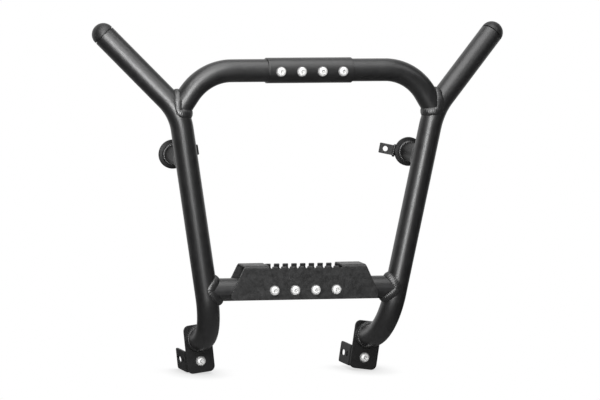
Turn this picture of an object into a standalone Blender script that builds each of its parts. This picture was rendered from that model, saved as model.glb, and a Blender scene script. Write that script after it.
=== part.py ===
"""Rear bumper for a utility vehicle, welded from bent steel tube in two halves and bolted together.

Metres, +Z up, +X to the bumper's right, +Y toward the vehicle.
Heights are measured from the lowest point of the feet, depths from the plane of the two side tubes.
"""

import math

import bmesh
import bpy
from mathutils import Matrix, Vector

# Tube stock and the fit between touching pieces
TUBE_OD = 0.04445
TUBE_WALL = 0.0024
BEND_RADIUS = 0.100
HEEL_BEND_RADIUS = 0.104
CLEARANCE = 0.0003
HALF_JOINT_GAP = 0.0008

# Side tubes: horn tip, shoulder bend, heel bend and foot
HORN_SPREAD = 0.1360
HORN_SWEEP = 0.062
HORN_RISE = 0.1425
SHOULDER_HALF_WIDTH = 0.2585
SHOULDER_HEIGHT = 0.5325
HEEL_HALF_WIDTH = 0.1745
HEEL_HEIGHT = 0.0730
HEEL_SET_BACK = 0.0170
FOOT_REACH = 0.1070

# Upper hoop and lower cross tube
HOOP_HEIGHT = 0.6110
HOOP_BEND_INSET = 0.048
CROSS_HEIGHT = 0.1832

# Sleeve that joins the hoop halves
SLEEVE_LENGTH = 0.172
SLEEVE_WALL = 0.0022

# Folded step channel over the cross tube
CHANNEL_THICKNESS = 0.003
CHANNEL_FOLD = 0.003
CHANNEL_BOTTOM_LENGTH = 0.299
CHANNEL_TOP_LENGTH = 0.246
CHANNEL_HEIGHT = 0.0672
CHANNEL_DROP = 0.0187
CHANNEL_END_RISE = 0.012
CHANNEL_CORNER = 0.007
SLOT_COUNT = 9
SLOT_PITCH = 0.0178
SLOT_WIDTH = 0.0068
FRONT_SLOT_DEPTH = 0.0065
BACK_SLOT_DEPTH = 0.0120

# Rows of four bolts through the sleeve and through the channel
BOLTS_PER_ROW = 4
BOLT_PITCH = 0.0420

# Button head bolts, washers and nuts, size M10
SHANK_DIAMETER = 0.010
HOLE_DIAMETER = 0.011
HEAD_DIAMETER = 0.0175
HEAD_HEIGHT = 0.0055
HEAD_RIM = 0.0010
HEAD_FACE_RIM = 0.001
SOCKET_ACROSS_FLATS = 0.006
SOCKET_DEPTH = 0.0032
WASHER_DIAMETER = 0.020
WASHER_THICKNESS = 0.002
WASHER_BORE = 0.0106
NUT_ACROSS_FLATS = 0.017
NUT_THICKNESS = 0.008
SHANK_PAST_NUT = 0.003
SHANK_CHAMFER = 0.001

# Domed caps in the horn tips
CAP_SEAM = 0.0015
CAP_LIP = 0.0015
CAP_WALL = 0.0025
CAP_SPIGOT = 0.014

# Foot plates
PLATE_WIDTH = 0.0555
PLATE_HEIGHT = 0.096
PLATE_THICKNESS = 0.005
PLATE_CORNER = 0.011
PLATE_LEAN = math.radians(7.4)
TUBE_ABOVE_PLATE_CENTRE = 0.0205
FOOT_BOLT_DROP = 0.0245

# Folded clevis brackets behind the foot plates
CLEVIS_WIDTH = 0.0555
CLEVIS_HEIGHT = 0.041
CLEVIS_REACH = 0.068
CLEVIS_THICKNESS = 0.004
CLEVIS_FOLD = 0.004
CLEVIS_CORNER = 0.005
CLEVIS_HOLE = 0.011
CLEVIS_SLOT_LENGTH = 0.024
CLEVIS_HOLE_BACK = 0.022
CLEVIS_SLOT_BACK = 0.049

# Standoffs with a round flange and a flat lug behind each side tube
STANDOFF_HEIGHT = 0.4395
STANDOFF_REACH = 0.0920
STANDOFF_OD = 0.0370
STANDOFF_WALL = 0.003
FLANGE_DIAMETER = 0.057
FLANGE_THICKNESS = 0.006
LUG_WIDTH = 0.020
LUG_THICKNESS = 0.005
LUG_LENGTH = 0.031
LUG_SWEEP = math.radians(30)
LUG_DROP = 0.003
LUG_HOLE = 0.0105
LUG_HOLE_FROM_TIP = 0.012
LUG_CORNER = 0.0015

# Weld beads
BEAD_RADIUS = 0.0032
LUG_BEAD_RADIUS = 0.0035

# How finely round shapes are cut
TUBE_BEVEL_RESOLUTION = 7
BEAD_BEVEL_RESOLUTION = 1
BEAD_POINTS = 18
BEND_STEP = math.radians(12.5)
ROUND_STEPS = 24
BOLT_STEPS = 12
HOLE_POINTS = 12
CORNER_STEPS = 4
DOME_STEPS = 6
HEAD_DOME_STEPS = 2
BISECTIONS = 24
MERGE_DISTANCE = 0.00001
SMOOTH_ANGLE = math.radians(35)
CUT_MARGIN = 0.010

# Sizes that follow from the ones above
TUBE_RADIUS = TUBE_OD / 2
TUBE_SIDES = 4 + 2 * TUBE_BEVEL_RESOLUTION
TUBE_BORE_RADIUS = TUBE_RADIUS - TUBE_WALL
JOINT_SEARCH = 3 * TUBE_RADIUS
HOOP_HALF_WIDTH = SHOULDER_HALF_WIDTH - HOOP_BEND_INSET
SLEEVE_BORE_RADIUS = TUBE_RADIUS + CLEARANCE
SLEEVE_RADIUS = (SLEEVE_BORE_RADIUS + SLEEVE_WALL) / math.cos(math.pi / ROUND_STEPS)
SLEEVE_FACE = SLEEVE_RADIUS * math.cos(math.pi / ROUND_STEPS)
CHANNEL_HALF_DEPTH = TUBE_RADIUS + CLEARANCE + CHANNEL_THICKNESS
HEAD_STACK = CLEARANCE + WASHER_THICKNESS + CLEARANCE
PLATE_FRONT = HEEL_SET_BACK + FOOT_REACH
PLATE_BACK = PLATE_FRONT + PLATE_THICKNESS
CLEVIS_FRONT = PLATE_BACK + CLEARANCE
SIDES = {"left": -1, "right": 1}


def foot_point(side, drop):
    """Point on the foot plate's long axis, the given distance down from the plate's centre."""
    centre_x = HEEL_HALF_WIDTH - TUBE_ABOVE_PLATE_CENTRE * math.sin(PLATE_LEAN)
    centre_z = HEEL_HEIGHT - TUBE_ABOVE_PLATE_CENTRE * math.cos(PLATE_LEAN)
    x = centre_x - drop * math.sin(PLATE_LEAN)
    z = centre_z - drop * math.cos(PLATE_LEAN)
    return Vector((side * x, 0, z))


def lowest_point():
    """Height of the foot plate's lowest point before the bumper is set on the ground."""
    half_width = PLATE_WIDTH / 2 - PLATE_CORNER
    half_height = PLATE_HEIGHT / 2 - PLATE_CORNER
    reach = half_height * math.cos(PLATE_LEAN) + half_width * math.sin(PLATE_LEAN)
    return foot_point(1, 0).z - reach - PLATE_CORNER


def origin_shift():
    """Move that brings the origin to the middle of the bumper's depth, on the ground."""
    front = -SLEEVE_FACE - HEAD_STACK - HEAD_HEIGHT
    back = CLEVIS_FRONT + CLEVIS_REACH
    return Vector((0, -(front + back) / 2, -lowest_point()))


def make_material(name, color, metallic, roughness):
    material = bpy.data.materials.new(name)
    material.use_nodes = True
    shader = material.node_tree.nodes["Principled BSDF"]
    shader.inputs["Base Color"].default_value = (*color, 1)
    shader.inputs["Metallic"].default_value = metallic
    shader.inputs["Roughness"].default_value = roughness
    return material


def powder_coat(name):
    return make_material(name + "_coat", (0.018, 0.018, 0.019), 0.0, 0.45)


def zinc_plate(name):
    return make_material(name + "_zinc", (0.62, 0.62, 0.60), 1.0, 0.28)


def make_collection(name):
    group = bpy.data.collections.new(name)
    bpy.context.scene.collection.children.link(group)
    return group


def add_part(part, group, material):
    """Put a finished piece in its collection with its own finish and smooth round faces."""
    group.objects.link(part)
    part.data = part.data if part.data.users == 1 else part.data.copy()
    part.data.materials.clear()
    part.data.materials.append(material(part.name))
    part.data.shade_smooth()
    part.data.set_sharp_from_angle(angle=SMOOTH_ANGLE)
    return part


def add_cutter(cutter, group):
    group.objects.link(cutter)
    cutter.hide_render = True
    cutter.display_type = "WIRE"
    return cutter


def boolean(part, cutter, operation):
    modifier = part.modifiers.new(operation.lower() + "_" + cutter.name, "BOOLEAN")
    modifier.operation = operation
    modifier.object = cutter
    modifier.solver = "EXACT"
    return modifier


def curve_mesh(name, outlines, cyclic, matrix=None, **settings):
    """Mesh object made from a curve whose splines are the given outlines."""
    curve = bpy.data.curves.new(name + "_curve", "CURVE")
    for setting, value in settings.items():
        setattr(curve, setting, value)
    for outline in outlines:
        spline = curve.splines.new("POLY")
        spline.points.add(len(outline) - 1)
        spline.use_cyclic_u = cyclic
        for point, place in zip(spline.points, outline):
            point.co = (*Vector(place).to_3d(), 1)
    drawn = bpy.data.objects.new(name + "_curve", curve)
    bpy.context.scene.collection.objects.link(drawn)
    drawn.matrix_world = matrix or Matrix()
    depsgraph = bpy.context.evaluated_depsgraph_get()
    mesh = bpy.data.meshes.new_from_object(drawn.evaluated_get(depsgraph))
    mesh.name = name
    work = bmesh.new()
    work.from_mesh(mesh)
    bmesh.ops.remove_doubles(work, verts=work.verts, dist=MERGE_DISTANCE)
    work.to_mesh(mesh)
    work.free()
    made = bpy.data.objects.new(name, mesh)
    made.matrix_world = drawn.matrix_world.copy()
    bpy.data.objects.remove(drawn)
    bpy.data.curves.remove(curve)
    return made


def rod_mesh(name, path, radius, resolution, cyclic=False):
    """Solid round bar along a path."""
    return curve_mesh(name, [path], cyclic, dimensions="3D", bevel_depth=radius,
                      bevel_resolution=resolution, use_fill_caps=not cyclic)


def tube_mesh(name, path, radius, wall):
    """Hollow tube along a path, open at both ends."""
    tube = curve_mesh(name, [path], False, dimensions="3D", bevel_depth=radius,
                      bevel_resolution=TUBE_BEVEL_RESOLUTION, use_fill_caps=False)
    solidify = tube.modifiers.new("wall", "SOLIDIFY")
    solidify.thickness = wall
    solidify.offset = -1
    solidify.use_even_offset = True
    return tube


def plate_mesh(name, outlines, thickness, matrix):
    """Flat piece with the given outlines, centred on its own plane."""
    return curve_mesh(name, outlines, True, matrix, dimensions="2D", fill_mode="BOTH",
                      extrude=thickness / 2)


def folded_sheet(name, section, length, thickness, matrix):
    """Sheet bent along an open section, with its thickness on the right hand of the section's run."""
    sheet = curve_mesh(name, [section], False, matrix, dimensions="2D", fill_mode="NONE",
                       extrude=length / 2)
    solidify = sheet.modifiers.new("thickness", "SOLIDIFY")
    solidify.thickness = thickness
    solidify.offset = -1
    solidify.use_even_offset = True
    return sheet


def arc_points(centre, radius, start, turn, steps):
    """Points along an arc in a plane."""
    angles = [start + turn * index / steps for index in range(steps + 1)]
    return [(centre[0] + radius * math.cos(angle), centre[1] + radius * math.sin(angle)) for angle in angles]


def circle_outline(centre, diameter, points):
    return arc_points(centre, diameter / 2, 0, math.tau, points)[:-1]


def slot_outline(centre, length, width):
    """Slot with round ends, long along the first direction."""
    half = (length - width) / 2
    front = arc_points((centre[0] + half, centre[1]), width / 2, -math.pi / 2, math.pi, HOLE_POINTS // 2)
    back = arc_points((centre[0] - half, centre[1]), width / 2, math.pi / 2, math.pi, HOLE_POINTS // 2)
    return front + back


def rounded_rectangle(width, height, corner, centre=(0, 0)):
    outline = []
    for quarter in range(4):
        angle = quarter * math.pi / 2
        sign_x = 1 if quarter in (0, 3) else -1
        sign_y = 1 if quarter in (0, 1) else -1
        x = centre[0] + sign_x * (width / 2 - corner)
        y = centre[1] + sign_y * (height / 2 - corner)
        outline += arc_points((x, y), corner, angle, math.pi / 2, CORNER_STEPS)
    return outline


def rounded_path(corners, radii):
    """Centreline through corner points, each inner corner turned on its own radius."""
    path = [corners[0]]
    for before, corner, after, radius in zip(corners, corners[1:], corners[2:], radii):
        to_before = (before - corner).normalized()
        to_after = (after - corner).normalized()
        turn = math.pi - to_before.angle(to_after)
        tangent = radius * math.tan(turn / 2)
        centre = corner + (to_before + to_after).normalized() * radius / math.cos(turn / 2)
        spoke = corner + to_before * tangent - centre
        last_spoke = corner + to_after * tangent - centre
        axis = spoke.cross(last_spoke).normalized()
        steps = max(2, math.ceil(turn / BEND_STEP))
        for index in range(steps + 1):
            path.append(centre + Matrix.Rotation(turn * index / steps, 3, axis) @ spoke)
    path.append(corners[-1])
    return path


def distance_to_path(point, path):
    """Distance from a point to the nearest place on a path."""
    nearest = math.inf
    for start, end in zip(path, path[1:]):
        along = end - start
        share = max(0, min(1, (point - start).dot(along) / along.length_squared))
        nearest = min(nearest, (point - start - along * share).length)
    return nearest


def joint_circle(centre, direction, radius):
    """Circle round a tube's end."""
    across = direction.orthogonal().normalized()
    up = direction.cross(across)
    angles = [math.tau * index / BEAD_POINTS for index in range(BEAD_POINTS)]
    return [centre + (across * math.cos(angle) + up * math.sin(angle)) * radius for angle in angles]


def joint_line(tip, direction, radius, target_path, target_radius):
    """Closed line where a round tube that points at a target tube meets its surface."""
    line = []
    for rim in joint_circle(tip, direction, radius):
        inside = 0
        outside = JOINT_SEARCH
        for _ in range(BISECTIONS):
            middle = (inside + outside) / 2
            if distance_to_path(rim - direction * middle, target_path) < target_radius:
                inside = middle
            else:
                outside = middle
        line.append(rim - direction * outside)
    return line


def facing_back(x, depth, z):
    """Frame of a flat outline drawn in X and Z, with its thickness along Y."""
    return Matrix.Translation((x, depth, z)) @ Matrix.Rotation(math.pi / 2, 4, "X")


def bolt_places():
    """Distances along a row of bolts from the middle of the bumper."""
    return [(index - (BOLTS_PER_ROW - 1) / 2) * BOLT_PITCH for index in range(BOLTS_PER_ROW)]


def side_corners(side):
    shoulder = Vector((SHOULDER_HALF_WIDTH, 0, SHOULDER_HEIGHT))
    horn = Vector((HORN_SPREAD, HORN_SWEEP, HORN_RISE))
    heel = Vector((HEEL_HALF_WIDTH, HEEL_SET_BACK, HEEL_HEIGHT))
    foot = Vector((HEEL_HALF_WIDTH, PLATE_FRONT - CLEARANCE, HEEL_HEIGHT))
    return [Vector((side * point.x, point.y, point.z)) for point in (shoulder + horn, shoulder, heel, foot)]


def side_path(side):
    return rounded_path(side_corners(side), [BEND_RADIUS, HEEL_BEND_RADIUS])


def leg_point(side, height):
    """Place on the straight leg of a side tube at a height."""
    _, shoulder, heel, _ = side_corners(side)
    share = (shoulder.z - height) / (shoulder.z - heel.z)
    return shoulder.lerp(heel, share)


def shoulder_middle(side):
    """Middle of the shoulder bend on the tube's centreline, where the hoop points."""
    tip, shoulder, heel, _ = side_corners(side)
    to_tip = (tip - shoulder).normalized()
    to_heel = (heel - shoulder).normalized()
    half_turn = (math.pi - to_tip.angle(to_heel)) / 2
    return shoulder + (to_tip + to_heel).normalized() * BEND_RADIUS * (1 / math.cos(half_turn) - 1)


def make_side_tube(name, side, parts, cutters):
    """Horn, leg and foot bent from one tube, with the ring weld at its foot."""
    path = side_path(side)
    tube = add_part(tube_mesh(name, path, TUBE_RADIUS, TUBE_WALL), parts, powder_coat)
    foot = side_corners(side)[-1]
    ring = joint_circle(foot, Vector((0, 1, 0)), TUBE_RADIUS)
    bead = rod_mesh(name + "_foot_bead", ring, BEAD_RADIUS, BEAD_BEVEL_RESOLUTION, cyclic=True)
    boolean(tube, add_cutter(bead, cutters), "UNION")
    trim_size = TUBE_OD + 2 * (BEAD_RADIUS + CUT_MARGIN)
    trim_place = facing_back(foot.x, foot.y + trim_size / 2, foot.z)
    square = rounded_rectangle(trim_size, trim_size, CUT_MARGIN)
    trim = add_cutter(plate_mesh(name + "_foot_trim", [square], trim_size, trim_place), cutters)
    boolean(tube, trim, "DIFFERENCE")
    return tube


def make_side_cutter(name, side, cutters):
    """Outer form of a side tube with its clearance, which copes the tubes that meet it."""
    radius = (TUBE_RADIUS + CLEARANCE) / math.cos(math.pi / TUBE_SIDES)
    cutter = rod_mesh(name, side_path(side), radius, TUBE_BEVEL_RESOLUTION)
    return add_cutter(cutter, cutters)


def weld_and_cope(tube, side, tip, direction, radius, side_cutter, cutters):
    """Weld bead on the line where a tube meets its side tube, and the cope along it."""
    line = joint_line(tip, direction, radius, side_path(side), TUBE_RADIUS)
    bead = rod_mesh(tube.name + "_bead", line, BEAD_RADIUS, BEAD_BEVEL_RESOLUTION, cyclic=True)
    boolean(tube, add_cutter(bead, cutters), "UNION")
    boolean(tube, side_cutter, "DIFFERENCE")


def make_bolt_row_cutter(name, depth, height, cutters):
    """Four bolt holes in a row, right through the bumper."""
    circles = [circle_outline((x, 0), HOLE_DIAMETER, HOLE_POINTS) for x in bolt_places()]
    length = 2 * (CHANNEL_HALF_DEPTH + CUT_MARGIN)
    return add_cutter(plate_mesh(name, circles, length, facing_back(0, depth, height)), cutters)


def make_hoop_tube(name, side, side_cutter, holes, parts, cutters):
    """Half of the upper hoop, from the sleeve to the shoulder of its side tube."""
    middle = Vector((side * HALF_JOINT_GAP, 0, HOOP_HEIGHT))
    corner = Vector((side * HOOP_HALF_WIDTH, 0, HOOP_HEIGHT))
    tip = shoulder_middle(side)
    tube = tube_mesh(name, rounded_path([middle, corner, tip], [BEND_RADIUS]), TUBE_RADIUS, TUBE_WALL)
    add_part(tube, parts, powder_coat)
    direction = (tip - corner).normalized()
    weld_and_cope(tube, side, tip, direction, TUBE_RADIUS, side_cutter, cutters)
    boolean(tube, holes, "DIFFERENCE")
    return tube


def make_cross_tube(name, side, side_cutter, holes, parts, cutters):
    """Half of the lower cross tube, from the middle of the channel to its side tube."""
    tip = leg_point(side, CROSS_HEIGHT)
    middle = Vector((side * HALF_JOINT_GAP, tip.y, tip.z))
    tube = add_part(tube_mesh(name, [middle, tip], TUBE_RADIUS, TUBE_WALL), parts, powder_coat)
    direction = Vector((side, 0, 0))
    weld_and_cope(tube, side, tip, direction, TUBE_RADIUS, side_cutter, cutters)
    boolean(tube, holes, "DIFFERENCE")
    return tube


def turned_mesh(name, profile, steps, matrix=None):
    """Turned piece: a profile of radius and height, run from top to bottom, spun about Z."""
    mesh = bpy.data.meshes.new(name)
    edges = [(index, index + 1) for index in range(len(profile) - 1)]
    mesh.from_pydata([(radius, 0, height) for radius, height in profile], edges, [])
    turned = bpy.data.objects.new(name, mesh)
    turned.matrix_world = matrix or Matrix()
    screw = turned.modifiers.new("turn", "SCREW")
    screw.steps = steps
    screw.render_steps = steps
    screw.use_merge_vertices = True
    screw.merge_threshold = MERGE_DISTANCE
    return turned


def make_sleeve(holes, parts):
    """Sleeve over the two hoop halves, with its four cross holes."""
    bore = SLEEVE_BORE_RADIUS / math.cos(math.pi / ROUND_STEPS)
    half = SLEEVE_LENGTH / 2
    profile = [(bore, half), (SLEEVE_RADIUS, half), (SLEEVE_RADIUS, -half), (bore, -half), (bore, half)]
    place = Matrix.Translation((0, 0, HOOP_HEIGHT)) @ Matrix.Rotation(math.pi / 2, 4, "Y")
    place = place @ Matrix.Rotation(math.pi / ROUND_STEPS, 4, "Z")
    sleeve = add_part(turned_mesh("hoop_sleeve", profile, ROUND_STEPS, place), parts, powder_coat)
    boolean(sleeve, holes, "DIFFERENCE")
    return sleeve


def channel_section():
    """Open section of the channel, up the front, over the tube and down the back, with margin at its feet."""
    top = CHANNEL_HEIGHT - CHANNEL_DROP
    outer_fold = CHANNEL_FOLD + CHANNEL_THICKNESS
    inner_depth = CHANNEL_HALF_DEPTH - outer_fold
    front = arc_points((-inner_depth, top - outer_fold), outer_fold, math.pi, -math.pi / 2, CORNER_STEPS)
    back = arc_points((inner_depth, top - outer_fold), outer_fold, math.pi / 2, -math.pi / 2, CORNER_STEPS)
    foot = -CHANNEL_DROP - CUT_MARGIN
    return [(-CHANNEL_HALF_DEPTH, foot)] + front + back + [(CHANNEL_HALF_DEPTH, foot)]


def channel_window():
    """Section of the opening in the channel's top, out to the middle of both folds."""
    top = CHANNEL_HEIGHT - CHANNEL_DROP
    outer_fold = CHANNEL_FOLD + CHANNEL_THICKNESS
    inner_depth = CHANNEL_HALF_DEPTH - outer_fold
    reach = inner_depth + outer_fold + CUT_MARGIN
    low = top - outer_fold
    over = top + CUT_MARGIN
    return [(-inner_depth, low), (inner_depth, low), (reach, over), (-reach, over)]


def slot_cutter_outlines(slot_depth):
    """Tall slots with round bottoms, open above the channel's top."""
    top = CHANNEL_HEIGHT - CHANNEL_DROP
    centre = top - slot_depth + SLOT_WIDTH / 2
    outlines = []
    for index in range(SLOT_COUNT):
        x = (index - (SLOT_COUNT - 1) / 2) * SLOT_PITCH
        bottom = arc_points((x, centre), SLOT_WIDTH / 2, math.pi, math.pi, HOLE_POINTS // 2)
        mouth = [(x + SLOT_WIDTH / 2, top + CUT_MARGIN), (x - SLOT_WIDTH / 2, top + CUT_MARGIN)]
        outlines.append(bottom + mouth)
    return outlines


def channel_outline():
    """Front view of the channel: round bottom corners, short upright ends, then sloping in to the top."""
    bottom = -CHANNEL_DROP
    top = CHANNEL_HEIGHT - CHANNEL_DROP
    slope = (CHANNEL_BOTTOM_LENGTH - CHANNEL_TOP_LENGTH) / 2 / (CHANNEL_HEIGHT - CHANNEL_END_RISE)
    over = top + CUT_MARGIN
    corner = (CHANNEL_BOTTOM_LENGTH / 2 - CHANNEL_CORNER, bottom + CHANNEL_CORNER)
    right = arc_points(corner, CHANNEL_CORNER, -math.pi / 2, math.pi / 2, CORNER_STEPS) + [
        (CHANNEL_BOTTOM_LENGTH / 2, bottom + CHANNEL_END_RISE),
        (CHANNEL_TOP_LENGTH / 2 - slope * CUT_MARGIN, over),
    ]
    left = [(-x, z) for x, z in reversed(right)]
    return right + left


def make_channel(holes, parts, cutters):
    """Folded channel bolted over the cross tube, with an open top between two rows of teeth."""
    depth = leg_point(1, CROSS_HEIGHT).y
    place = Matrix.Translation((0, depth, CROSS_HEIGHT))
    along = place @ Matrix.Rotation(math.pi / 2, 4, "Z") @ Matrix.Rotation(math.pi / 2, 4, "X")
    length = CHANNEL_BOTTOM_LENGTH + 2 * CUT_MARGIN
    channel = folded_sheet("step_channel", channel_section(), length, CHANNEL_THICKNESS, along)
    add_part(channel, parts, powder_coat)
    half_through = CHANNEL_HALF_DEPTH + CUT_MARGIN
    facing = facing_back(0, depth, CROSS_HEIGHT)
    blank = add_cutter(plate_mesh("channel_blank", [channel_outline()], 2 * half_through, facing), cutters)
    boolean(channel, blank, "INTERSECT")
    for row, offset, slot_depth in (("front", -0.5, FRONT_SLOT_DEPTH), ("back", 0.5, BACK_SLOT_DEPTH)):
        facing = facing_back(0, depth + offset * half_through, CROSS_HEIGHT)
        slots = plate_mesh(f"{row}_slots", slot_cutter_outlines(slot_depth), half_through, facing)
        boolean(channel, add_cutter(slots, cutters), "DIFFERENCE")
    window_length = (SLOT_COUNT - 1) * SLOT_PITCH
    window = plate_mesh("channel_window", [channel_window()], window_length, along)
    boolean(channel, add_cutter(window, cutters), "DIFFERENCE")
    boolean(channel, holes, "DIFFERENCE")
    return channel


def make_cap(name, side, parts):
    """Domed cap with a spigot inside the horn's tip and a narrow seam to the tube."""
    tip, shoulder = side_corners(side)[:2]
    axis = (tip - shoulder).normalized()
    spigot_radius = TUBE_BORE_RADIUS * math.cos(math.pi / TUBE_SIDES) - CLEARANCE
    hollow_radius = spigot_radius - CAP_WALL
    lip_top = CAP_SEAM + CAP_LIP
    dome = arc_points((0, lip_top), TUBE_RADIUS, math.pi / 2, -math.pi / 2, DOME_STEPS)
    hollow = arc_points((0, lip_top), hollow_radius, 0, math.pi / 2, DOME_STEPS // 2)
    profile = dome + [
        (TUBE_RADIUS, CAP_SEAM),
        (spigot_radius, CAP_SEAM),
        (spigot_radius, -CAP_SPIGOT),
        (hollow_radius, -CAP_SPIGOT),
    ] + hollow
    profile[0] = (0, profile[0][1])
    profile[-1] = (0, profile[-1][1])
    place = Matrix.Translation(tip) @ axis.to_track_quat("Z", "Y").to_matrix().to_4x4()
    return add_part(turned_mesh(name, profile, ROUND_STEPS, place), parts, powder_coat)


def make_foot_plate(name, side, parts, cutters):
    """Rounded plate welded across the tube's foot."""
    centre = foot_point(side, 0)
    place = facing_back(centre.x, PLATE_FRONT + PLATE_THICKNESS / 2, centre.z)
    lean = Matrix.Rotation(-side * PLATE_LEAN, 4, "Z")
    outline = rounded_rectangle(PLATE_WIDTH, PLATE_HEIGHT, PLATE_CORNER)
    plate = add_part(plate_mesh(name, [outline], PLATE_THICKNESS, place @ lean), parts, powder_coat)
    hole = [circle_outline((0, -FOOT_BOLT_DROP), HOLE_DIAMETER, HOLE_POINTS)]
    through = PLATE_THICKNESS + 2 * CUT_MARGIN
    cutter = add_cutter(plate_mesh(name + "_hole", hole, through, place @ lean), cutters)
    boolean(plate, cutter, "DIFFERENCE")
    return plate


def clevis_section():
    """Open section of the clevis, seen from above: one flange, the web and the other flange."""
    outer_fold = CLEVIS_FOLD + CLEVIS_THICKNESS
    inner_x = CLEVIS_WIDTH / 2 - outer_fold
    right = arc_points((inner_x, outer_fold), outer_fold, 0, -math.pi / 2, CORNER_STEPS)
    left = arc_points((-inner_x, outer_fold), outer_fold, -math.pi / 2, -math.pi / 2, CORNER_STEPS)
    return [(CLEVIS_WIDTH / 2, CLEVIS_REACH)] + right + left + [(-CLEVIS_WIDTH / 2, CLEVIS_REACH)]


def make_clevis(name, side, parts, cutters):
    """Folded bracket bolted behind the foot plate, with a hole and a slot in each flange."""
    bolt = foot_point(side, FOOT_BOLT_DROP)
    place = Matrix.Translation((bolt.x, CLEVIS_FRONT, bolt.z)) @ Matrix.Rotation(side * PLATE_LEAN, 4, "Y")
    clevis = folded_sheet(name, clevis_section(), CLEVIS_HEIGHT, CLEVIS_THICKNESS, place)
    add_part(clevis, parts, powder_coat)
    sideways = place @ Matrix.Rotation(math.pi / 2, 4, "Z") @ Matrix.Rotation(math.pi / 2, 4, "X")
    across = CLEVIS_WIDTH + 2 * CUT_MARGIN
    blank_length = CLEVIS_REACH + 2 * CLEVIS_CORNER
    blank_centre = (CLEVIS_REACH - blank_length / 2, 0)
    blank = [rounded_rectangle(blank_length, CLEVIS_HEIGHT, CLEVIS_CORNER, blank_centre)]
    openings = [
        circle_outline((CLEVIS_HOLE_BACK, 0), CLEVIS_HOLE, HOLE_POINTS),
        slot_outline((CLEVIS_SLOT_BACK, 0), CLEVIS_SLOT_LENGTH, CLEVIS_HOLE),
    ]
    blank_cutter = add_cutter(plate_mesh(name + "_blank", blank, across, sideways), cutters)
    opening_cutter = add_cutter(plate_mesh(name + "_openings", openings, across, sideways), cutters)
    web_hole = [circle_outline((0, 0), HOLE_DIAMETER, HOLE_POINTS)]
    web_place = place @ Matrix.Rotation(math.pi / 2, 4, "X")
    web_through = 2 * (CLEVIS_THICKNESS + CUT_MARGIN)
    web_cutter = add_cutter(plate_mesh(name + "_web_hole", web_hole, web_through, web_place), cutters)
    boolean(clevis, blank_cutter, "INTERSECT")
    boolean(clevis, opening_cutter, "DIFFERENCE")
    boolean(clevis, web_cutter, "DIFFERENCE")
    return clevis


def make_standoff(name, side, side_cutter, parts, cutters):
    """Short tube that stands back from the side tube."""
    root = leg_point(side, STANDOFF_HEIGHT)
    back = Vector((root.x, root.y + STANDOFF_REACH, root.z))
    standoff = add_part(tube_mesh(name, [back, root], STANDOFF_OD / 2, STANDOFF_WALL), parts, powder_coat)
    weld_and_cope(standoff, side, root, Vector((0, -1, 0)), STANDOFF_OD / 2, side_cutter, cutters)
    return standoff


def flange_front(side):
    return leg_point(side, STANDOFF_HEIGHT).y + STANDOFF_REACH + CLEARANCE


def make_flange(name, side, parts):
    """Round flange on the back of a standoff."""
    root = leg_point(side, STANDOFF_HEIGHT)
    place = facing_back(root.x, flange_front(side) + FLANGE_THICKNESS / 2, root.z)
    disc = [circle_outline((0, 0), FLANGE_DIAMETER, ROUND_STEPS)]
    return add_part(plate_mesh(name, disc, FLANGE_THICKNESS, place), parts, powder_coat)


def make_lug(name, side, parts, cutters):
    """Flat lug on the flange's inner rim, square to the leg's lean and swept back."""
    root = leg_point(side, STANDOFF_HEIGHT)
    _, shoulder, heel, _ = side_corners(1)
    lean = math.atan2(shoulder.x - heel.x, shoulder.z - heel.z)
    flange = facing_back(root.x, flange_front(side) + FLANGE_THICKNESS / 2, root.z)
    flange = flange @ Matrix.Rotation(-side * lean, 4, "Z")
    rim = Matrix.Translation((-side * FLANGE_DIAMETER / 2, -LUG_DROP, 0))
    place = flange @ rim @ Matrix.Rotation(-side * LUG_SWEEP, 4, "Y")
    strip_length = LUG_LENGTH + 2 * LUG_THICKNESS
    strip_middle = -side * (LUG_LENGTH - strip_length / 2)
    strip = rounded_rectangle(strip_length, LUG_WIDTH, LUG_CORNER, (strip_middle, 0))
    lug = add_part(plate_mesh(name, [strip], LUG_THICKNESS, place), parts, powder_coat)
    through = 2 * CUT_MARGIN
    hole = [circle_outline((-side * (LUG_LENGTH - LUG_HOLE_FROM_TIP), 0), LUG_HOLE, HOLE_POINTS)]
    hole_cutter = add_cutter(plate_mesh(name + "_hole", hole, through, place), cutters)
    bead_ends = [place @ Vector((0, edge * LUG_WIDTH / 2, 0)) for edge in (-1, 1)]
    bead = rod_mesh(name + "_bead", bead_ends, LUG_BEAD_RADIUS, BEAD_BEVEL_RESOLUTION)
    disc = [circle_outline((0, 0), FLANGE_DIAMETER + 2 * CLEARANCE, ROUND_STEPS)]
    disc_cutter = add_cutter(plate_mesh(name + "_rim", disc, through, flange), cutters)
    boolean(lug, add_cutter(bead, cutters), "UNION")
    boolean(lug, disc_cutter, "DIFFERENCE")
    boolean(lug, hole_cutter, "DIFFERENCE")
    return lug


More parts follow.
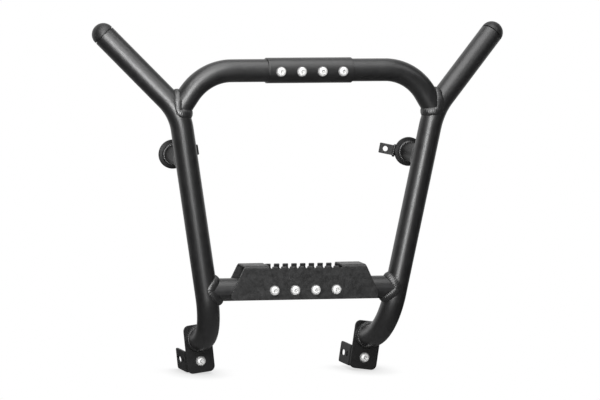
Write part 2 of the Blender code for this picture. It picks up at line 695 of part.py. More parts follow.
def bolt_mesh(name, shank_length):
    """Button head bolt with a hexagon socket, head up, seat at height zero."""
    radius = SHANK_DIAMETER / 2
    head_radius = HEAD_DIAMETER / 2
    socket_radius = SOCKET_ACROSS_FLATS / 2 / math.cos(math.pi / 6)
    face_radius = socket_radius + HEAD_FACE_RIM
    dome = []
    for index in range(HEAD_DOME_STEPS + 1):
        angle = math.pi / 2 * index / HEAD_DOME_STEPS
        rise = (HEAD_HEIGHT - HEAD_RIM) * math.cos(angle)
        reach = face_radius + (head_radius - face_radius) * math.sin(angle)
        dome.append((reach, HEAD_RIM + rise))
    profile = [(0, HEAD_HEIGHT)] + dome + [
        (head_radius, 0),
        (radius, 0),
        (radius, -shank_length + SHANK_CHAMFER),
        (radius - SHANK_CHAMFER, -shank_length),
        (0, -shank_length),
    ]
    bolt = turned_mesh(name, profile, BOLT_STEPS)
    socket = bpy.data.meshes.new(name + "_socket")
    work = bmesh.new()
    bmesh.ops.create_cone(work, cap_ends=True, segments=6, radius1=socket_radius, radius2=socket_radius,
                          depth=2 * SOCKET_DEPTH, matrix=Matrix.Translation((0, 0, HEAD_HEIGHT)))
    work.to_mesh(socket)
    work.free()
    return applied(bolt, bpy.data.objects.new(name + "_socket", socket))


def applied(part, cutter):
    """Mesh of a part after a cut, so that every copy can share it."""
    scene = bpy.context.scene.collection
    for piece in (part, cutter):
        scene.objects.link(piece)
    boolean(part, cutter, "DIFFERENCE")
    depsgraph = bpy.context.evaluated_depsgraph_get()
    mesh = bpy.data.meshes.new_from_object(part.evaluated_get(depsgraph))
    for piece in (part, cutter):
        bpy.data.objects.remove(piece)
    return mesh


def ring_mesh(name, outline, bore, thickness):
    """Washer or nut blank: an outline with a round bore."""
    hole = list(reversed(circle_outline((0, 0), bore, BOLT_STEPS)))
    ring = plate_mesh(name, [outline, hole], thickness, None)
    return ring.data


def add_fastener(name, mesh, place, parts):
    fastener = bpy.data.objects.new(name, mesh.copy())
    fastener.matrix_world = place
    return add_part(fastener, parts, zinc_plate)


def make_bolt_set(name, x, z, front, back, turn, parts, meshes):
    """Bolt and washer on the front face and nut on the back face of what they clamp."""
    def frame(depth):
        return facing_back(x, depth, z) @ Matrix.Rotation(turn, 4, "Z")

    grip = back - front
    shank = grip + HEAD_STACK + CLEARANCE + NUT_THICKNESS + SHANK_PAST_NUT
    if shank not in meshes:
        meshes[shank] = bolt_mesh("bolt_" + str(len(meshes)), shank)
    washer_middle = front - CLEARANCE - WASHER_THICKNESS / 2
    nut_middle = back + CLEARANCE + NUT_THICKNESS / 2
    add_fastener(name + "_bolt", meshes[shank], frame(front - HEAD_STACK), parts)
    add_fastener(name + "_washer", meshes["washer"], frame(washer_middle), parts)
    add_fastener(name + "_nut", meshes["nut"], frame(nut_middle), parts)


def make_fasteners(parts):
    """Bolt rows through the sleeve and the channel, and one bolt in each foot."""
    washer = circle_outline((0, 0), WASHER_DIAMETER, HOLE_POINTS)
    hexagon = circle_outline((0, 0), NUT_ACROSS_FLATS / math.cos(math.pi / 6), 6)
    meshes = {
        "washer": ring_mesh("washer_blank", washer, WASHER_BORE, WASHER_THICKNESS),
        "nut": ring_mesh("nut_blank", hexagon, WASHER_BORE, NUT_THICKNESS),
    }
    cross_depth = leg_point(1, CROSS_HEIGHT).y
    for index, x in enumerate(bolt_places(), start=1):
        make_bolt_set(f"sleeve_{index}", x, HOOP_HEIGHT, -SLEEVE_FACE, SLEEVE_FACE, 0, parts, meshes)
        make_bolt_set(f"channel_{index}", x, CROSS_HEIGHT, cross_depth - CHANNEL_HALF_DEPTH,
                      cross_depth + CHANNEL_HALF_DEPTH, 0, parts, meshes)
    for label, side in SIDES.items():
        place = foot_point(side, FOOT_BOLT_DROP)
        make_bolt_set(label + "_foot", place.x, place.z, PLATE_FRONT, CLEVIS_FRONT + CLEVIS_THICKNESS,
                      side * PLATE_LEAN, parts, meshes)


def make_half(label, side, hoop_holes, cross_holes, parts, cutters):
    """Everything that is welded or bolted to one side tube."""
    side_cutter = make_side_cutter(label + "_side_form", side, cutters)
    make_side_tube(label + "_side_tube", side, parts, cutters)
    make_hoop_tube(label + "_hoop_tube", side, side_cutter, hoop_holes, parts, cutters)
    make_cross_tube(label + "_cross_tube", side, side_cutter, cross_holes, parts, cutters)
    make_cap(label + "_end_cap", side, parts)
    make_foot_plate(label + "_foot_plate", side, parts, cutters)
    make_clevis(label + "_clevis", side, parts, cutters)
    make_standoff(label + "_standoff", side, side_cutter, parts, cutters)
    make_flange(label + "_standoff_flange", side, parts)
    make_lug(label + "_lug", side, parts, cutters)


def main():
    for old in list(bpy.data.objects):
        bpy.data.objects.remove(old)
    parts = make_collection("utv_rear_bumper")
    cutters = make_collection("cutters")
    hoop_holes = make_bolt_row_cutter("hoop_holes", 0, HOOP_HEIGHT, cutters)
    cross_depth = leg_point(1, CROSS_HEIGHT).y
    cross_holes = make_bolt_row_cutter("cross_holes", cross_depth, CROSS_HEIGHT, cutters)
    for label, side in SIDES.items():
        make_half(label, side, hoop_holes, cross_holes, parts, cutters)
    make_sleeve(hoop_holes, parts)
    make_channel(cross_holes, parts, cutters)
    make_fasteners(parts)
    origin = bpy.data.objects.new("bumper_origin", None)
    parts.objects.link(origin)
    origin.location = origin_shift()
    for group in (parts, cutters):
        for piece in group.objects:
            if piece is not origin:
                piece.parent = origin


main()
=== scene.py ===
"""Dressed scene of a rear bumper for a utility vehicle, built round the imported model.

Metres, +Z up, +X to the bumper's right, +Y toward the vehicle.
Pieces are drawn with heights from the feet and depths from the side tubes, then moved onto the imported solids.
"""

from bisect import bisect_right
from contextlib import contextmanager
from itertools import accumulate
from math import asin, atan2, ceil, cos, pi, radians, sin, tan, tau

import bmesh
import bpy
from mathutils import Matrix, Vector, noise


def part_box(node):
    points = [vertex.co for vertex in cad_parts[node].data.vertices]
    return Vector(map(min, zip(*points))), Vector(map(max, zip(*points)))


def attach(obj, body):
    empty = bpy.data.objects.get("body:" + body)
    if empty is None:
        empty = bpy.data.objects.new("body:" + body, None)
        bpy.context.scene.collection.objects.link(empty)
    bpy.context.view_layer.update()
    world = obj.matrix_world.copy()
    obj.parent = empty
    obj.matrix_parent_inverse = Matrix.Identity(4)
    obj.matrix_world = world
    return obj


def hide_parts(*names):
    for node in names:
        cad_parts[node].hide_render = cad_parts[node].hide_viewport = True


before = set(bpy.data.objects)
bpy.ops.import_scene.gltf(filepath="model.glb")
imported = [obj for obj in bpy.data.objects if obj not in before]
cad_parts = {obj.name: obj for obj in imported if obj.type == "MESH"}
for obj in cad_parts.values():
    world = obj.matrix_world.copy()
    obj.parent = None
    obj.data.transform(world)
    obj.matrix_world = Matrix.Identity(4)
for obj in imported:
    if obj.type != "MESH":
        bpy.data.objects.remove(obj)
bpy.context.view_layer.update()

# Sizes of the bumper, as in its source
TUBE_OD = 0.04445
TUBE_WALL = 0.0024
BEND_RADIUS = 0.100
HEEL_BEND_RADIUS = 0.104
CLEARANCE = 0.0003
HALF_JOINT_GAP = 0.0008
HORN_SPREAD = 0.1360
HORN_SWEEP = 0.062
HORN_RISE = 0.1425
SHOULDER_HALF_WIDTH = 0.2585
SHOULDER_HEIGHT = 0.5325
HEEL_HALF_WIDTH = 0.1745
HEEL_HEIGHT = 0.0730
HEEL_SET_BACK = 0.0170
FOOT_REACH = 0.1070
HOOP_HEIGHT = 0.6110
HOOP_BEND_INSET = 0.048
CROSS_HEIGHT = 0.1832
SLEEVE_LENGTH = 0.172
SLEEVE_WALL = 0.0022
CHANNEL_THICKNESS = 0.003
CHANNEL_FOLD = 0.003
CHANNEL_BOTTOM_LENGTH = 0.299
CHANNEL_TOP_LENGTH = 0.246
CHANNEL_HEIGHT = 0.0672
CHANNEL_DROP = 0.0187
CHANNEL_END_RISE = 0.012
CHANNEL_CORNER = 0.007
SLOT_COUNT = 9
SLOT_PITCH = 0.0178
SLOT_WIDTH = 0.0068
FRONT_SLOT_DEPTH = 0.0065
BACK_SLOT_DEPTH = 0.0120
BOLTS_PER_ROW = 4
BOLT_PITCH = 0.0420
SHANK_DIAMETER = 0.010
HOLE_DIAMETER = 0.011
HEAD_DIAMETER = 0.0175
HEAD_HEIGHT = 0.0055
HEAD_RIM = 0.0010
SOCKET_ACROSS_FLATS = 0.006
SOCKET_DEPTH = 0.0032
WASHER_DIAMETER = 0.020
WASHER_THICKNESS = 0.002
WASHER_BORE = 0.0106
NUT_ACROSS_FLATS = 0.017
NUT_THICKNESS = 0.008
SHANK_PAST_NUT = 0.003
SHANK_CHAMFER = 0.001
CAP_SEAM = 0.0015
CAP_LIP = 0.0015
CAP_WALL = 0.0025
CAP_SPIGOT = 0.014
PLATE_WIDTH = 0.0555
PLATE_HEIGHT = 0.096
PLATE_THICKNESS = 0.005
PLATE_CORNER = 0.011
PLATE_LEAN = radians(7.4)
TUBE_ABOVE_PLATE_CENTRE = 0.0205
FOOT_BOLT_DROP = 0.0245
CLEVIS_WIDTH = 0.0555
CLEVIS_HEIGHT = 0.041
CLEVIS_REACH = 0.068
CLEVIS_THICKNESS = 0.004
CLEVIS_FOLD = 0.004
CLEVIS_CORNER = 0.005
CLEVIS_HOLE = 0.011
CLEVIS_SLOT_LENGTH = 0.024
CLEVIS_HOLE_BACK = 0.022
CLEVIS_SLOT_BACK = 0.049
STANDOFF_HEIGHT = 0.4395
STANDOFF_REACH = 0.0920
STANDOFF_OD = 0.0370
STANDOFF_WALL = 0.003
FLANGE_DIAMETER = 0.057
FLANGE_THICKNESS = 0.006
LUG_WIDTH = 0.020
LUG_THICKNESS = 0.005
LUG_LENGTH = 0.031
LUG_SWEEP = radians(30)
LUG_DROP = 0.003
LUG_HOLE = 0.0105
LUG_HOLE_FROM_TIP = 0.012
LUG_CORNER = 0.0015

# Finishing sizes that only show here
TUBE_RIM = 0.0005
COPE_SINK = 0.0010
STRAIGHT_REACH = 0.05
PLATE_EDGE = 0.0008
SHEET_EDGE = 0.0005
LUG_EDGE = 0.0007
LUG_START = 0.0005
SLEEVE_EDGE = 0.0005
FASTENER_EDGE = 0.0003
TOOTH_ROUND = 0.0011
CAP_COLLAR = 0.0025
CAP_ROUNDNESS = 0.988
CAP_HOLLOW_OPENING = 0.01
CENTRE_RADIUS = 0.0001
SOCKET_CONE = 0.0008
SOCKET_FLOOR_SHARE = 0.98
SOCKET_RIM = 0.0006
NUT_FACE_SHARE = 0.97
NUT_CHAMFER = radians(30)
THREAD_PITCH = 0.0015
THREAD_DEPTH = 0.0008
THREAD_LENGTH = 0.014
SLEEVE_BOLT_SPIN = 0.4
CHANNEL_BOLT_SPIN = 0.7
FOOT_BOLT_SPIN = 0.3

# Welds: legs and crown, how they wander, and their ripple
WELD_LEG = 0.0080
FOOT_WELD_PLATE_LEG = 0.0050
FOOT_WELD_TUBE_LEG = 0.0090
FLANGE_WELD_LEG = 0.0040
WELD_TOE_SINK = 0.0003
WELD_ROOT_DEPTH = 0.0014
WELD_CROWN = 0.0013
WELD_CROWN_ON_FLAT = 0.6
WELD_CROWN_POWER = 0.8
WELD_WANDER_SCALE = 90
WELD_CROWN_WANDER = 0.25
WELD_TOE_WANDER = 0.12
WELD_PITCH = 0.0034
WELD_RIPPLE = 0.05
WELD_RIPPLE_SKEW = 0.5
WELD_RIPPLE_CURVE = 2.2
WELD_TOE_RIPPLE = 0.05
LUG_WELD_RADIUS = 0.0027
LUG_WELD_RIPPLE = 0.10
LUG_WELD_OFFSET = 0.0012
LUG_WELD_FLAT = 0.0001

# How finely round shapes are drawn
TUBE_SIDES = 56
BEND_STEP = radians(3)
FOLD_STEPS = 8
ARC_STEPS = 8
SLOT_STEPS = 16
CORNER_STEPS = 4
HOLE_POINTS = 32
TURN_STEPS = 64
HEAD_STEPS = 36
NUT_STEPS = 48
HEAD_DOME_STEPS = 9
THREAD_STEPS = 6
CAP_DOME_STEPS = 24
CAP_HOLLOW_STEPS = 12
EDGE_STEPS = 2
WELD_POINTS = 320
WELD_SECTION = 9
WELD_SMOOTHING = 240
LUG_WELD_POINTS = 96
BISECTIONS = 20
SMOOTH_ANGLE = radians(38)
STRAIGHT_ANGLE = radians(178)
MERGE_DISTANCE = 0.00001
CUT_DISTANCE = 0.000001

# Sizes that follow from the ones above
TUBE_RADIUS = TUBE_OD / 2
SLEEVE_BORE_RADIUS = TUBE_RADIUS + CLEARANCE
SLEEVE_FACE = SLEEVE_BORE_RADIUS + SLEEVE_WALL
SLEEVE_BEVEL = SLEEVE_EDGE / 3
SLEEVE_SUPPORT = 3 * SLEEVE_EDGE
CHANNEL_HALF_DEPTH = TUBE_RADIUS + CLEARANCE + CHANNEL_THICKNESS
CHANNEL_OUTSIDE = CHANNEL_FOLD + CHANNEL_THICKNESS
CHANNEL_BEND = CHANNEL_FOLD + CHANNEL_THICKNESS / 2
CHANNEL_LEG = CHANNEL_HEIGHT - CHANNEL_OUTSIDE
CHANNEL_WEB = 2 * (CHANNEL_HALF_DEPTH - CHANNEL_OUTSIDE)
CHANNEL_UNFOLDED = 2 * CHANNEL_LEG + CHANNEL_WEB + CHANNEL_BEND * pi
WASHER_BEVEL = FASTENER_EDGE / 4
FLANGE_BEVEL = PLATE_EDGE / 3
JOINT_SEARCH = 3 * TUBE_RADIUS
HEAD_STACK = CLEARANCE + WASHER_THICKNESS + CLEARANCE
HOOP_HALF_WIDTH = SHOULDER_HALF_WIDTH - HOOP_BEND_INSET
PLATE_FRONT = HEEL_SET_BACK + FOOT_REACH
CLEVIS_FRONT = PLATE_FRONT + PLATE_THICKNESS + CLEARANCE
SIDES = {"left": -1, "right": 1}

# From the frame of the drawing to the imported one, read off the sleeve
sleeve_low, sleeve_high = (Vector(corner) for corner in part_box("hoop_sleeve"))
SHIFT = (sleeve_low + sleeve_high) / 2 - Vector((0, 0, HOOP_HEIGHT))


# Camera, matched to the photograph
CAMERA_PLACE = (-3.62644, -11.48059, 1.71033)
CAMERA_RIGHT = (0.95372218, -0.29989171, 0.02188790)
CAMERA_UP = (0.01304153, 0.11397909, 0.99339753)
CAMERA_LENS = 371.709
CAMERA_SENSOR = 36.0


def new_object(name, data):
    made = bpy.data.objects.new(name, data)
    bpy.context.scene.collection.objects.link(made)
    return made


def make_camera():
    data = bpy.data.cameras.new("camera")
    data.sensor_width = CAMERA_SENSOR
    data.lens = CAMERA_LENS
    camera = new_object("camera", data)
    right = Vector(CAMERA_RIGHT)
    up = Vector(CAMERA_UP)
    turn = Matrix((right, up, right.cross(up))).transposed().to_4x4()
    camera.matrix_world = Matrix.Translation(CAMERA_PLACE) @ turn
    bpy.context.scene.camera = camera


# Materials

class Nodes:
    """A node tree with short calls for its nodes and links."""

    def __init__(self, tree):
        self.tree = tree

    def feed(self, node, inputs):
        """Give a node its inputs, each a plain value or another node's socket."""
        for key, value in inputs.items():
            if isinstance(value, bpy.types.NodeSocket):
                self.tree.links.new(value, node.inputs[key])
            else:
                node.inputs[key].default_value = value

    def node(self, kind, inputs=None, **settings):
        made = self.tree.nodes.new(kind)
        for key, value in settings.items():
            setattr(made, key, value)
        self.feed(made, inputs or {})
        return made

    def place(self, kind="Object"):
        return self.node("ShaderNodeTexCoord").outputs[kind]

    def depth(self, place):
        """Part of a place or a direction that lies along Y."""
        return self.node("ShaderNodeSeparateXYZ", {"Vector": place}).outputs["Y"]

    def noise(self, scale, detail, roughness):
        """Noise by place on the object, with scale in cycles per metre."""
        inputs = {"Vector": self.place(), "Scale": scale, "Detail": detail, "Roughness": roughness}
        return self.node("ShaderNodeTexNoise", inputs).outputs["Fac"]

    def ranged(self, source, low, high, start=0.3, end=0.7, **settings):
        """Source from start to end mapped to low to high."""
        inputs = {"Value": source, "From Min": start, "From Max": end, "To Min": low, "To Max": high}
        return self.node("ShaderNodeMapRange", inputs, **settings).outputs["Result"]

    def pointiness(self, start, end):
        """Share from 0 to 1 as the surface turns from hollow to outer edge."""
        geometry = self.node("ShaderNodeNewGeometry")
        return self.ranged(geometry.outputs["Pointiness"], 0.0, 1.0, start, end)

    def mixed(self, share, first, second):
        """Colour between two colours, each a value or a socket."""
        first, second = ((*value, 1) if isinstance(value, tuple) else value for value in (first, second))
        return self.node("ShaderNodeMix", {0: share, 6: first, 7: second}, data_type="RGBA").outputs[2]

    def blended(self, share, first, second):
        """Number between two numbers, each a value or a socket."""
        return self.node("ShaderNodeMix", {0: share, 2: first, 3: second}).outputs[0]

    def larger(self, first, second):
        return self.node("ShaderNodeMath", {0: first, 1: second}, operation="MAXIMUM").outputs[0]

    def bump(self, height, distance, strength, **below):
        inputs = {"Height": height, "Distance": distance, "Strength": strength, **below}
        return self.node("ShaderNodeBump", inputs).outputs["Normal"]


class Shader(Nodes):
    """A new node material."""

    def __init__(self, name):
        self.material = bpy.data.materials.new(name)
        self.material.use_nodes = True
        super().__init__(self.material.node_tree)
        self.surface = self.tree.nodes["Principled BSDF"]


# Noises of the finishes: cycles per metre, detail and roughness
MOTTLE_NOISE = (55.0, 3.0, 0.6)
SHEEN_NOISE = (130.0, 4.0, 0.65)
WAVE_NOISE = (260.0, 2.0, 0.5)
GRAIN_NOISE = (950.0, 2.0, 0.6)
BLOOM_NOISE = (420.0, 4.0, 0.6)
RUB_NOISE = (900.0, 3.0, 0.6)
SCRATCH_NOISE = (1600.0, 2.0, 0.5)
MOTTLE_SPAN = (0.35, 0.65)

# Powder coat: strength of its two bumps, and where and how much its outer edges are lightened as a painted
# highlight
WAVE_STRENGTH = 0.2
GRAIN_STRENGTH = 0.35
EDGE_HIGHLIGHT_SPAN = (0.60, 0.72)
EDGE_HIGHLIGHT_GAIN = 7

# Zinc plate
ZINC_METALLIC = 0.55
ZINC_ROUGHNESS = (0.38, 0.52)
# Where hollows such as sockets and thread roots turn dark, and their colour: painted shade
ZINC_SHADE_SPAN = (0.40, 0.49)
ZINC_SHADE_COLOUR = (0.12, 0.12, 0.12)
SCRATCH_HEIGHT = 0.00003
SCRATCH_STRENGTH = 0.5


def powder_coat(name, dark, light, roughness, grain_height, gloss):
    """Black powder coat: a fine pebbled grain, faint mottling and a painted highlight on its outer edges."""
    shader = Shader(name)
    mottle = shader.ranged(shader.noise(*MOTTLE_NOISE), 0.0, 1.0, *MOTTLE_SPAN)
    body = shader.mixed(mottle, dark, light)
    # Paler colour for the outer edges: a painted highlight along them
    edge_highlight = tuple(EDGE_HIGHLIGHT_GAIN * value for value in light)
    wave = shader.bump(shader.noise(*WAVE_NOISE), grain_height, WAVE_STRENGTH)
    shader.feed(shader.surface, {
        "Base Color": shader.mixed(shader.pointiness(*EDGE_HIGHLIGHT_SPAN), body, edge_highlight),
        "Roughness": shader.ranged(shader.noise(*SHEEN_NOISE), *roughness),
        "Normal": shader.bump(shader.noise(*GRAIN_NOISE), grain_height, GRAIN_STRENGTH, Normal=wave),
        "Specular IOR Level": gloss,
    })
    return shader.material


def zinc_plate(name, dark, light):
    """Bright zinc plate with fine scratches, a slight bloom and painted shade in its hollows."""
    shader = Shader(name)
    bloom = shader.ranged(shader.noise(*BLOOM_NOISE), 0.0, 1.0, *MOTTLE_SPAN)
    body = shader.mixed(bloom, dark, light)
    shader.feed(shader.surface, {
        "Metallic": ZINC_METALLIC,
        # Hollows take a dark colour: painted shade
        "Base Color": shader.mixed(shader.pointiness(*ZINC_SHADE_SPAN), ZINC_SHADE_COLOUR, body),
        "Roughness": shader.ranged(shader.noise(*RUB_NOISE), *ZINC_ROUGHNESS),
        "Normal": shader.bump(shader.noise(*SCRATCH_NOISE), SCRATCH_HEIGHT, SCRATCH_STRENGTH),
    })
    return shader.material


# Powder coats: dark and light colour, roughness from and to, grain height and gloss
COAT = powder_coat("powder_coat_tube", (0.0040, 0.0040, 0.0042), (0.0065, 0.0065, 0.0067),
                   (0.36, 0.44), 0.00004, 0.80)
CHANNEL_COAT = powder_coat("powder_coat_plate", (0.0040, 0.0040, 0.0041), (0.0110, 0.0110, 0.0112),
                           (0.36, 0.58), 0.00008, 0.66)
# Same colours as the tube coat, rougher and with far less gloss, so standoffs, flanges, lugs, foot plates and
# clevises read darker: painted shade
SHADED_COAT = powder_coat("powder_coat_shaded", (0.0040, 0.0040, 0.0041), (0.0065, 0.0065, 0.0067),
                        (0.44, 0.54), 0.00004, 0.28)
WELD_COAT = powder_coat("powder_coat_weld", (0.0045, 0.0045, 0.0047), (0.0075, 0.0075, 0.0077),
                        (0.34, 0.46), 0.00003, 0.80)
CAP_PLASTIC = powder_coat("cap_plastic", (0.0060, 0.0060, 0.0061), (0.0090, 0.0090, 0.0091),
                          (0.42, 0.50), 0.00002, 0.50)
ZINC = zinc_plate("zinc_plate_bright", (0.60, 0.60, 0.595), (0.78, 0.78, 0.77))
DULL_ZINC = zinc_plate("zinc_plate_dull", (0.14, 0.14, 0.14), (0.20, 0.20, 0.20))
COATS = (COAT, CHANNEL_COAT, SHADED_COAT, WELD_COAT, CAP_PLASTIC)
SLOTS = dict.fromkeys(COATS, "powder_coat") | dict.fromkeys((ZINC, DULL_ZINC), "zinc_plate")


# Meshes

@contextmanager
def edited(mesh):
    """Edit a mesh and keep the result."""
    work = bmesh.new()
    work.from_mesh(mesh)
    yield work
    work.to_mesh(mesh)
    work.free()


def dress(name, mesh, finish, node=None):
    """Object with its finish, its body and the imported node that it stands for."""
    piece = new_object(name, mesh)
    mesh.materials.clear()
    mesh.materials.append(finish)
    mesh.shade_smooth()
    mesh.set_sharp_from_angle(angle=SMOOTH_ANGLE)
    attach(piece, "root")
    if node:
        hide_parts(node)
    return piece


def mesh_piece(name, skin, finish, node=None):
    """Closed body from a loft, with its faces turned outward."""
    points, faces = skin
    mesh = bpy.data.meshes.new(name)
    mesh.from_pydata([Vector(point) + SHIFT for point in points], [], faces)
    with edited(mesh) as work:
        bmesh.ops.recalc_face_normals(work, faces=work.faces)
    dress(name, mesh, finish, node)


def loft(rings, closed=False):
    """Points and faces of a skin over rings with equal counts, with end caps unless it closes on itself."""
    count = len(rings[0])
    points = [point for ring in rings for point in ring]
    faces = []
    last = len(rings) if closed else len(rings) - 1
    for row in range(last):
        below = row * count
        above = (row + 1) % len(rings) * count
        for index in range(count):
            after = (index + 1) % count
            faces.append((below + index, below + after, above + after, above + index))
    if not closed:
        faces.append(tuple(reversed(range(count))))
        faces.append(tuple(range(len(points) - count, len(points))))
    return points, faces


def arc_points(centre, radius, start, turn, steps):
    angles = [start + turn * index / steps for index in range(steps + 1)]
    return [(centre[0] + radius * cos(angle), centre[1] + radius * sin(angle)) for angle in angles]


def circle_outline(centre, diameter):
    return arc_points(centre, diameter / 2, 0, tau, HOLE_POINTS)[:-1]


def slot_outline(middle, length, width):
    """Slot along the first direction, centred on its axis."""
    radius = width / 2
    front = arc_points((middle + length / 2 - radius, 0), radius, -pi / 2, pi, ARC_STEPS)
    back = arc_points((middle - length / 2 + radius, 0), radius, pi / 2, pi, ARC_STEPS)
    return front + back


def corner_arc(before, corner, after, radius, steps=None):
    """Arc that rounds the corner between two other points, in a number of steps or by BEND_STEP."""
    to_before = (before - corner).normalized()
    to_after = (after - corner).normalized()
    half_inner = to_before.angle(to_after) / 2
    if radius == 0 or half_inner > STRAIGHT_ANGLE / 2:
        return [corner]
    centre = corner + (to_before + to_after).normalized() * radius / sin(half_inner)
    first = corner + to_before * (radius / tan(half_inner)) - centre
    last = corner + to_after * (radius / tan(half_inner)) - centre
    turn = pi - 2 * half_inner
    steps = steps or ceil(turn / BEND_STEP)
    angles = [turn * index / steps for index in range(steps + 1)]
    return [centre + (first * sin(turn - angle) + last * sin(angle)) / sin(turn) for angle in angles]


def rounded_outline(corners, radii):
    """Closed outline with each corner turned on its own radius."""
    corners = [Vector(corner) for corner in corners]
    outline = []
    for before, corner, after, radius in zip(corners[-1:] + corners, corners, corners[1:] + corners, radii):
        outline += corner_arc(before, corner, after, radius, ARC_STEPS)
    return outline


def rounded_rectangle(width, height, corner, middle=0):
    """Rounded rectangle, centred on the first direction's axis at its middle."""
    left, right = middle - width / 2, middle + width / 2
    corners = [(left, -height / 2), (right, -height / 2), (right, height / 2), (left, height / 2)]
    return rounded_outline(corners, [corner] * 4)


def resampled(outline, count):
    """Evenly spaced points round a closed outline."""
    outline = outline + outline[:1]
    reaches = [0, *accumulate((after - before).length for before, after in zip(outline, outline[1:]))]
    points = []
    for step in range(count):
        reach = reaches[-1] * step / count
        index = bisect_right(reaches, reach) - 1
        share = (reach - reaches[index]) / (reaches[index + 1] - reaches[index])
        points.append(outline[index].lerp(outline[index + 1], share))
    return points


def blank_mesh(node, outlines, thickness, edge):
    """Flat sheet with the given outlines and rounded edges, centred on its own plane."""
    curve = bpy.data.curves.new(node + "_visual", "CURVE")
    curve.dimensions = "2D"
    curve.fill_mode = "BOTH"
    curve.extrude = thickness / 2 - edge
    curve.bevel_depth = edge
    curve.bevel_resolution = EDGE_STEPS
    curve.offset = -edge
    for outline in outlines:
        spline = curve.splines.new("POLY")
        spline.points.add(len(outline) - 1)
        spline.use_cyclic_u = True
        for point, place in zip(spline.points, outline):
            point.co = (place[0], place[1], 0, 1)
    drawn = new_object(curve.name, curve)
    depsgraph = bpy.context.evaluated_depsgraph_get()
    mesh = bpy.data.meshes.new_from_object(drawn.evaluated_get(depsgraph))
    bpy.data.objects.remove(drawn)
    bpy.data.curves.remove(curve)
    return mesh


def sheet_piece(node, mesh, place, finish):
    """Sheet metal piece from a mesh that is drawn in its own frame."""
    with edited(mesh) as work:
        bmesh.ops.remove_doubles(work, verts=work.verts, dist=MERGE_DISTANCE)
        bmesh.ops.recalc_face_normals(work, faces=work.faces)
    mesh.transform(Matrix.Translation(SHIFT) @ place)
    piece = dress(node + "_visual", mesh, finish, node)
    piece.modifiers.new("even_shading", "WEIGHTED_NORMAL").keep_sharp = True


def fold_mesh(mesh, start, heading, lengths, radius):
    """Bend a flat sheet, drawn along its first direction, by a quarter turn to the right between lengths."""
    quarter = radius * pi / 2

    def folded(along, offset, heading):
        place = Vector(start)
        for index, length in enumerate(lengths):
            forward = Vector((cos(heading), sin(heading)))
            outward = Vector((-forward.y, forward.x))
            if along <= length or index == len(lengths) - 1:
                return place + forward * along + outward * offset
            along -= length
            centre = place + forward * length - outward * radius
            if along < quarter:
                spoke = outward * cos(along / radius) + forward * sin(along / radius)
                return centre + spoke * (radius + offset)
            place = centre + forward * radius
            along -= quarter
            heading -= pi / 2

    with edited(mesh) as work:
        bmesh.ops.remove_doubles(work, verts=work.verts, dist=MERGE_DISTANCE)
        reach = 0
        for length in lengths[:-1]:
            reach += length
            for step in range(FOLD_STEPS + 1):
                geometry = work.verts[:] + work.edges[:] + work.faces[:]
                bmesh.ops.bisect_plane(work, geom=geometry, dist=CUT_DISTANCE, plane_no=(1, 0, 0),
                                       plane_co=(reach + quarter * step / FOLD_STEPS, 0, 0))
            reach += quarter
        for vertex in work.verts:
            place = folded(vertex.co.x, vertex.co.z, heading)
            vertex.co = (place.x, vertex.co.y, place.y)


# Centrelines

def rounded_path(corners, radii):
    """Centreline through corner points, each inner corner turned on its own radius."""
    path = [corners[0]]
    for before, corner, after, radius in zip(corners, corners[1:], corners[2:], radii):
        path += corner_arc(before, corner, after, radius)
    return path + [corners[-1]]


def side_corners(side):
    shoulder = Vector((SHOULDER_HALF_WIDTH, 0, SHOULDER_HEIGHT))
    horn = Vector((HORN_SPREAD, HORN_SWEEP, HORN_RISE))
    heel = Vector((HEEL_HALF_WIDTH, HEEL_SET_BACK, HEEL_HEIGHT))
    foot = Vector((HEEL_HALF_WIDTH, PLATE_FRONT - CLEARANCE, HEEL_HEIGHT))
    return [Vector((side * point.x, point.y, point.z)) for point in (shoulder + horn, shoulder, heel, foot)]


def shoulder_path(side):
    """Centreline of a side tube's horn, shoulder bend and leg, without the heel."""
    return rounded_path(side_corners(side)[:3], [BEND_RADIUS])


def leg_point(side, height):
    _, shoulder, heel, _ = side_corners(side)
    share = (shoulder.z - height) / (shoulder.z - heel.z)
    return shoulder.lerp(heel, share)


def leg_path(side):
    """Straight part of a leg, between its bends."""
    return [leg_point(side, STANDOFF_HEIGHT + STRAIGHT_REACH), leg_point(side, CROSS_HEIGHT - STRAIGHT_REACH)]


def shoulder_middle(side):
    """Middle of a side tube's shoulder bend."""
    return corner_arc(*side_corners(side)[:3], BEND_RADIUS, 2)[1]


def hoop_path(side):
    middle = Vector((side * HALF_JOINT_GAP, 0, HOOP_HEIGHT))
    corner = Vector((side * HOOP_HALF_WIDTH, 0, HOOP_HEIGHT))
    return rounded_path([middle, corner, shoulder_middle(side)], [BEND_RADIUS])


def cross_path(side):
    tip = leg_point(side, CROSS_HEIGHT)
    return [Vector((side * HALF_JOINT_GAP, tip.y, tip.z)), tip]


def standoff_path(side):
    root = leg_point(side, STANDOFF_HEIGHT)
    return [root + Vector((0, STANDOFF_REACH, 0)), root]


def foot_point(side, drop):
    """Place on a foot plate's middle line, at a distance down from its centre."""
    reach = TUBE_ABOVE_PLATE_CENTRE + drop
    x = HEEL_HALF_WIDTH - reach * sin(PLATE_LEAN)
    return Vector((side * x, 0, HEEL_HEIGHT - reach * cos(PLATE_LEAN)))


def nearest_on_path(point, path):
    places = []
    for start, end in zip(path, path[1:]):
        along = end - start
        share = max(0, min(1, (point - start).dot(along) / along.length_squared))
        places.append(start + along * share)
    return min(places, key=lambda place: (point - place).length_squared)


def distance_to_path(point, path):
    return (point - nearest_on_path(point, path)).length


def facing_back(x, depth, z, turn=0):
    """Frame of a flat outline drawn in X and Z, with its thickness along Y, turned in its own plane."""
    return Matrix.Translation((x, depth, z)) @ Matrix.Rotation(pi / 2, 4, "X") @ Matrix.Rotation(turn, 4, "Z")


